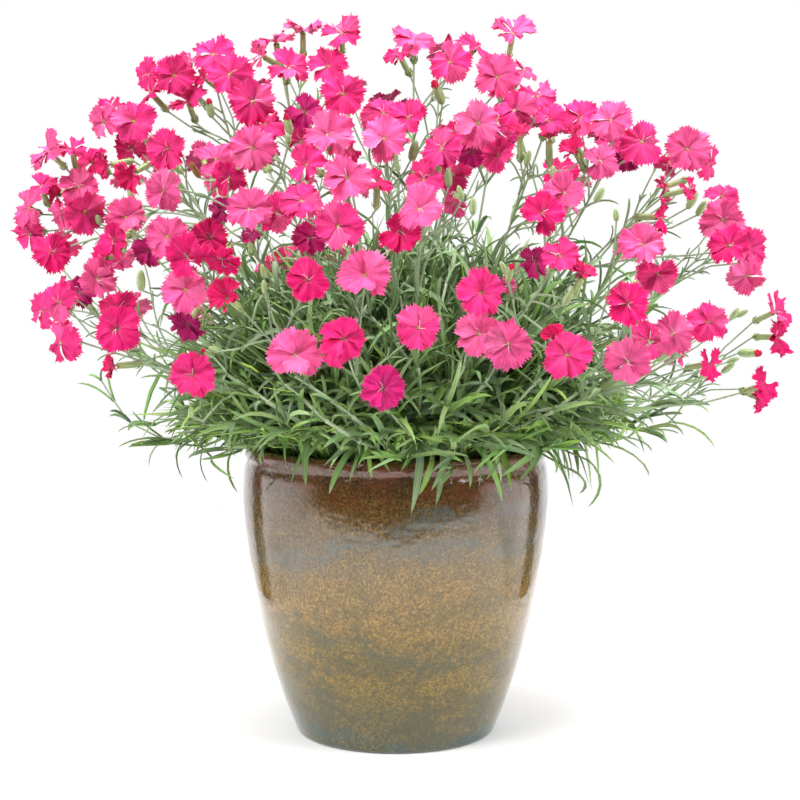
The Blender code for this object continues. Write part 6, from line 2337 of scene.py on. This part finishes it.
def soil_material():
    m = Nodes("potting_soil_mix", 0.95)
    tint, alpha = m.tint()
    n = m.noise(m.place(), 240.0, 5.0, 0.7)
    fine = m.noise(m.place(), 900.0, 3.0, 0.6)
    col = m.ramp(n, [(0.30, (0.010, 0.007, 0.005)), (0.52, (0.034, 0.022, 0.014)),
                     (0.72, (0.075, 0.048, 0.028))])
    col = m.mix(m.ramp(tint, [(0.3, 0.0), (1.0, 0.6)]), col, (0.11, 0.066, 0.036))
    col = m.mix(1.0, col, m.ramp(fine, [(0.3, 0.7), (0.7, 1.3)]), "MULTIPLY")
    m.colour(col)
    m.roughness(m.ramp(fine, [(0.2, 0.85), (0.8, 1.0)]))
    m.bump(m.math("ADD", n, fine), 0.8, 0.0015)
    return m.mat


# ---------------------------------------------------------------------------
# Stage: pale floor, soft studio light, camera
# ---------------------------------------------------------------------------
def plain(name, colour, rough, emit=0.0):
    m = bpy.data.materials.new(name)
    m.use_nodes = True
    b = m.node_tree.nodes["Principled BSDF"]
    b.inputs["Base Color"].default_value = (*colour, 1)
    b.inputs["Roughness"].default_value = rough
    b.inputs["Emission Color"].default_value = (1, 1, 1, 1)
    b.inputs["Emission Strength"].default_value = emit
    return m


def area_light(name, place, aim, width, height, power, colour=(1, 1, 1)):
    light = bpy.data.lights.new(name, "AREA")
    light.shape = "RECTANGLE"
    light.size, light.size_y = width, height
    light.energy = power
    light.color = colour
    obj = bpy.data.objects.new(name, light)
    bpy.context.scene.collection.objects.link(obj)
    p, a = np.array(place, dtype=float), np.array(aim, dtype=float)
    z = unit(p - a)
    x = unit(np.cross(vec(0, 0, 1), z))
    y = np.cross(z, x)
    from mathutils import Matrix
    obj.matrix_world = Matrix(((x[0], y[0], z[0], p[0]), (x[1], y[1], z[1], p[1]),
                               (x[2], y[2], z[2], p[2]), (0, 0, 0, 1)))
    return obj


def build_stage():
    me = bpy.data.meshes.new("floor")
    edge = [(-0.95, -0.60), (0.95, -0.60), (0.95, -0.24), (0.30, -0.02), (0.30, 0.95),
            (-0.30, 0.95), (-0.30, -0.02), (-0.95, -0.24)]
    me.from_pydata([(x, y, 0) for x, y in edge], [], [tuple(range(8))])
    floor = bpy.data.objects.new("floor", me)
    bpy.context.scene.collection.objects.link(floor)
    me.materials.append(plain("floor_white", (0.82, 0.82, 0.82), 0.9, 0.14))
    floor.location = (0, 0, -0.0002)

    world = bpy.data.worlds.new("studio")
    bpy.context.scene.world = world
    world.use_nodes = True
    t = world.node_tree
    bg = t.nodes["Background"]
    coord = t.nodes.new("ShaderNodeTexCoord")
    sep = t.nodes.new("ShaderNodeSeparateXYZ")
    t.links.new(coord.outputs["Generated"], sep.inputs[0])
    # a white sweep behind, a dim room in front, paler ground at both sides
    k = t.nodes.new("ShaderNodeMath")
    k.operation = "MULTIPLY_ADD"
    k.inputs[1].default_value, k.inputs[2].default_value = 0.5, 0.5
    t.links.new(sep.outputs[1], k.inputs[0])

    def stops(source, points):
        ramp = t.nodes.new("ShaderNodeValToRGB")
        e = ramp.color_ramp.elements
        while len(e) < len(points):
            e.new(0.5)
        for i, (p, c) in enumerate(points):
            e[i].position, e[i].color = p, (c, c, c, 1)
        t.links.new(source, ramp.inputs[0])
        return ramp

    ramp = stops(k.outputs[0], [(0.0, 0.10), (0.50, 0.08), (0.835, 0.07), (0.860, 1.15), (1.0, 1.15)])
    sides = stops(k.outputs[0], [(0.0, 0.0), (0.22, 0.0), (0.30, 1.1), (0.42, 2.0),
                                 (0.725, 2.0), (0.750, 0.0), (1.0, 0.0)])
    kz = t.nodes.new("ShaderNodeMath")
    kz.operation = "MULTIPLY_ADD"
    kz.inputs[1].default_value, kz.inputs[2].default_value = 0.5, 0.5
    t.links.new(sep.outputs[2], kz.inputs[0])
    ground = stops(kz.outputs[0], [(0.0, 0.3), (0.30, 0.5), (0.40, 1.0), (0.520, 1.0),
                                   (0.560, 0.0), (1.0, 0.0)])
    flank = t.nodes.new("ShaderNodeMath")
    flank.operation = "MULTIPLY"
    t.links.new(sides.outputs[0], flank.inputs[0])
    t.links.new(ground.outputs[0], flank.inputs[1])
    lit = t.nodes.new("ShaderNodeMix")
    lit.data_type, lit.blend_type = "RGBA", "LIGHTEN"
    lit.inputs["Factor"].default_value = 1.0
    t.links.new(ramp.outputs[0], lit.inputs[6])
    t.links.new(flank.outputs[0], lit.inputs[7])
    up = t.nodes.new("ShaderNodeValToRGB")
    e = up.color_ramp.elements
    e[0].position, e[0].color = 0.55, (0.0, 0.0, 0.0, 1)
    e[1].position, e[1].color = 1.0, (0.50, 0.50, 0.50, 1)
    t.links.new(kz.outputs[0], up.inputs[0])
    add = t.nodes.new("ShaderNodeMix")
    add.data_type, add.blend_type = "RGBA", "ADD"
    add.inputs["Factor"].default_value = 1.0
    t.links.new(lit.outputs[2], add.inputs[6])
    t.links.new(up.outputs[0], add.inputs[7])
    path = t.nodes.new("ShaderNodeLightPath")
    pick = t.nodes.new("ShaderNodeMix")
    pick.data_type = "RGBA"
    t.links.new(path.outputs["Is Camera Ray"], pick.inputs["Factor"])
    t.links.new(add.outputs[2], pick.inputs[6])
    pick.inputs[7].default_value = (1, 1, 1, 1)
    t.links.new(pick.outputs[2], bg.inputs["Color"])
    bg.inputs["Strength"].default_value = 1.0

    area_light("key", (-0.95, -1.05, 1.45), (0, 0, 0.28), 1.1, 0.9, 33.0)
    area_light("fill", (1.15, -0.75, 1.15), (0, 0, 0.28), 0.9, 0.9, 19.0)
    area_light("top", (0.0, 0.25, 1.75), (0, 0, 0.25), 1.2, 1.0, 31.0)

    cam = bpy.data.cameras.new("camera")
    cam.sensor_width = 36.0
    cam.lens = 36.0 * SURVEY_SCALE / 800.0
    cam.clip_start, cam.clip_end = 0.05, 30.0
    obj = bpy.data.objects.new("camera", cam)
    obj.location = SURVEY_POINT
    obj.rotation_euler = (math.radians(90 - SURVEY_DIP), 0, 0)
    bpy.context.scene.collection.objects.link(obj)
    bpy.context.scene.camera = obj
    bpy.context.scene.view_settings.view_transform = "Standard"
    bpy.context.scene.view_settings.look = "None"


GROUP = 5                    # flowering stems dressed together in one piece


def main():
    petal_m, throat_m = petal_material(), throat_material()
    leaf_m, stem_m, calyx_m = leaf_material(), stem_material(), calyx_material()
    stems, lost, space = grow_plant()
    heads = [st["head"] for st in stems] + [b["head"] for st in stems for b in st["branches"]]
    leaves = Leaves(heads)
    rng = np.random.default_rng(2024)

    pot = build_pot().make("glazed_pot", [glaze_material(), clay_material()], 50)
    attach(pot, "root")
    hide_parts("pot")
    soil = build_soil(rng).make("soil_surface", [soil_material()], 180)
    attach(soil, "root")
    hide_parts("potting_soil")

    total = 0
    for g in range(0, len(stems), GROUP):
        part = stems[g:g + GROUP]
        names = ["flowering_stem_%02d" % (i + 1) for i in range(g, g + len(part))]
        bloom, green = Batch(), Batch()
        for st in part:
            dress_stem(green, leaves, st, rng)
            for head in [st["head"]] + [b["head"] for b in st["branches"]]:
                if head["kind"] == "B":
                    bud(bloom, green, head, rng)
                else:
                    flower(bloom, green, head, rng)
        tag = "%02d_%02d" % (g + 1, g + len(part))
        a = bloom.make("petals_" + tag, [petal_m, throat_m])
        b = green.make("stems_" + tag, [leaf_m, stem_m, calyx_m], 66)
        for piece, slot in ((a, "petal_pink"), (b, "leaf_green")):
            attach(piece, "root")
            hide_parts(*names)
        total += bloom.count() + green.count()
        print("stems", tag, bloom.count(), green.count())

    greens = [Batch() for _ in range(TUFTS)]
    count = grow_foliage(greens, leaves, rng)
    for k, g in enumerate(greens):
        piece = g.make("tuft_leaves_%02d" % (k + 1), [leaf_m, stem_m], 66)
        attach(piece, "root")
        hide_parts("leaf_tuft_%02d" % (k + 1))
        total += g.count()
        print("tuft", k + 1, g.count())
    print("leaves in the mass", count, "triangles", total)
    build_stage()


main()
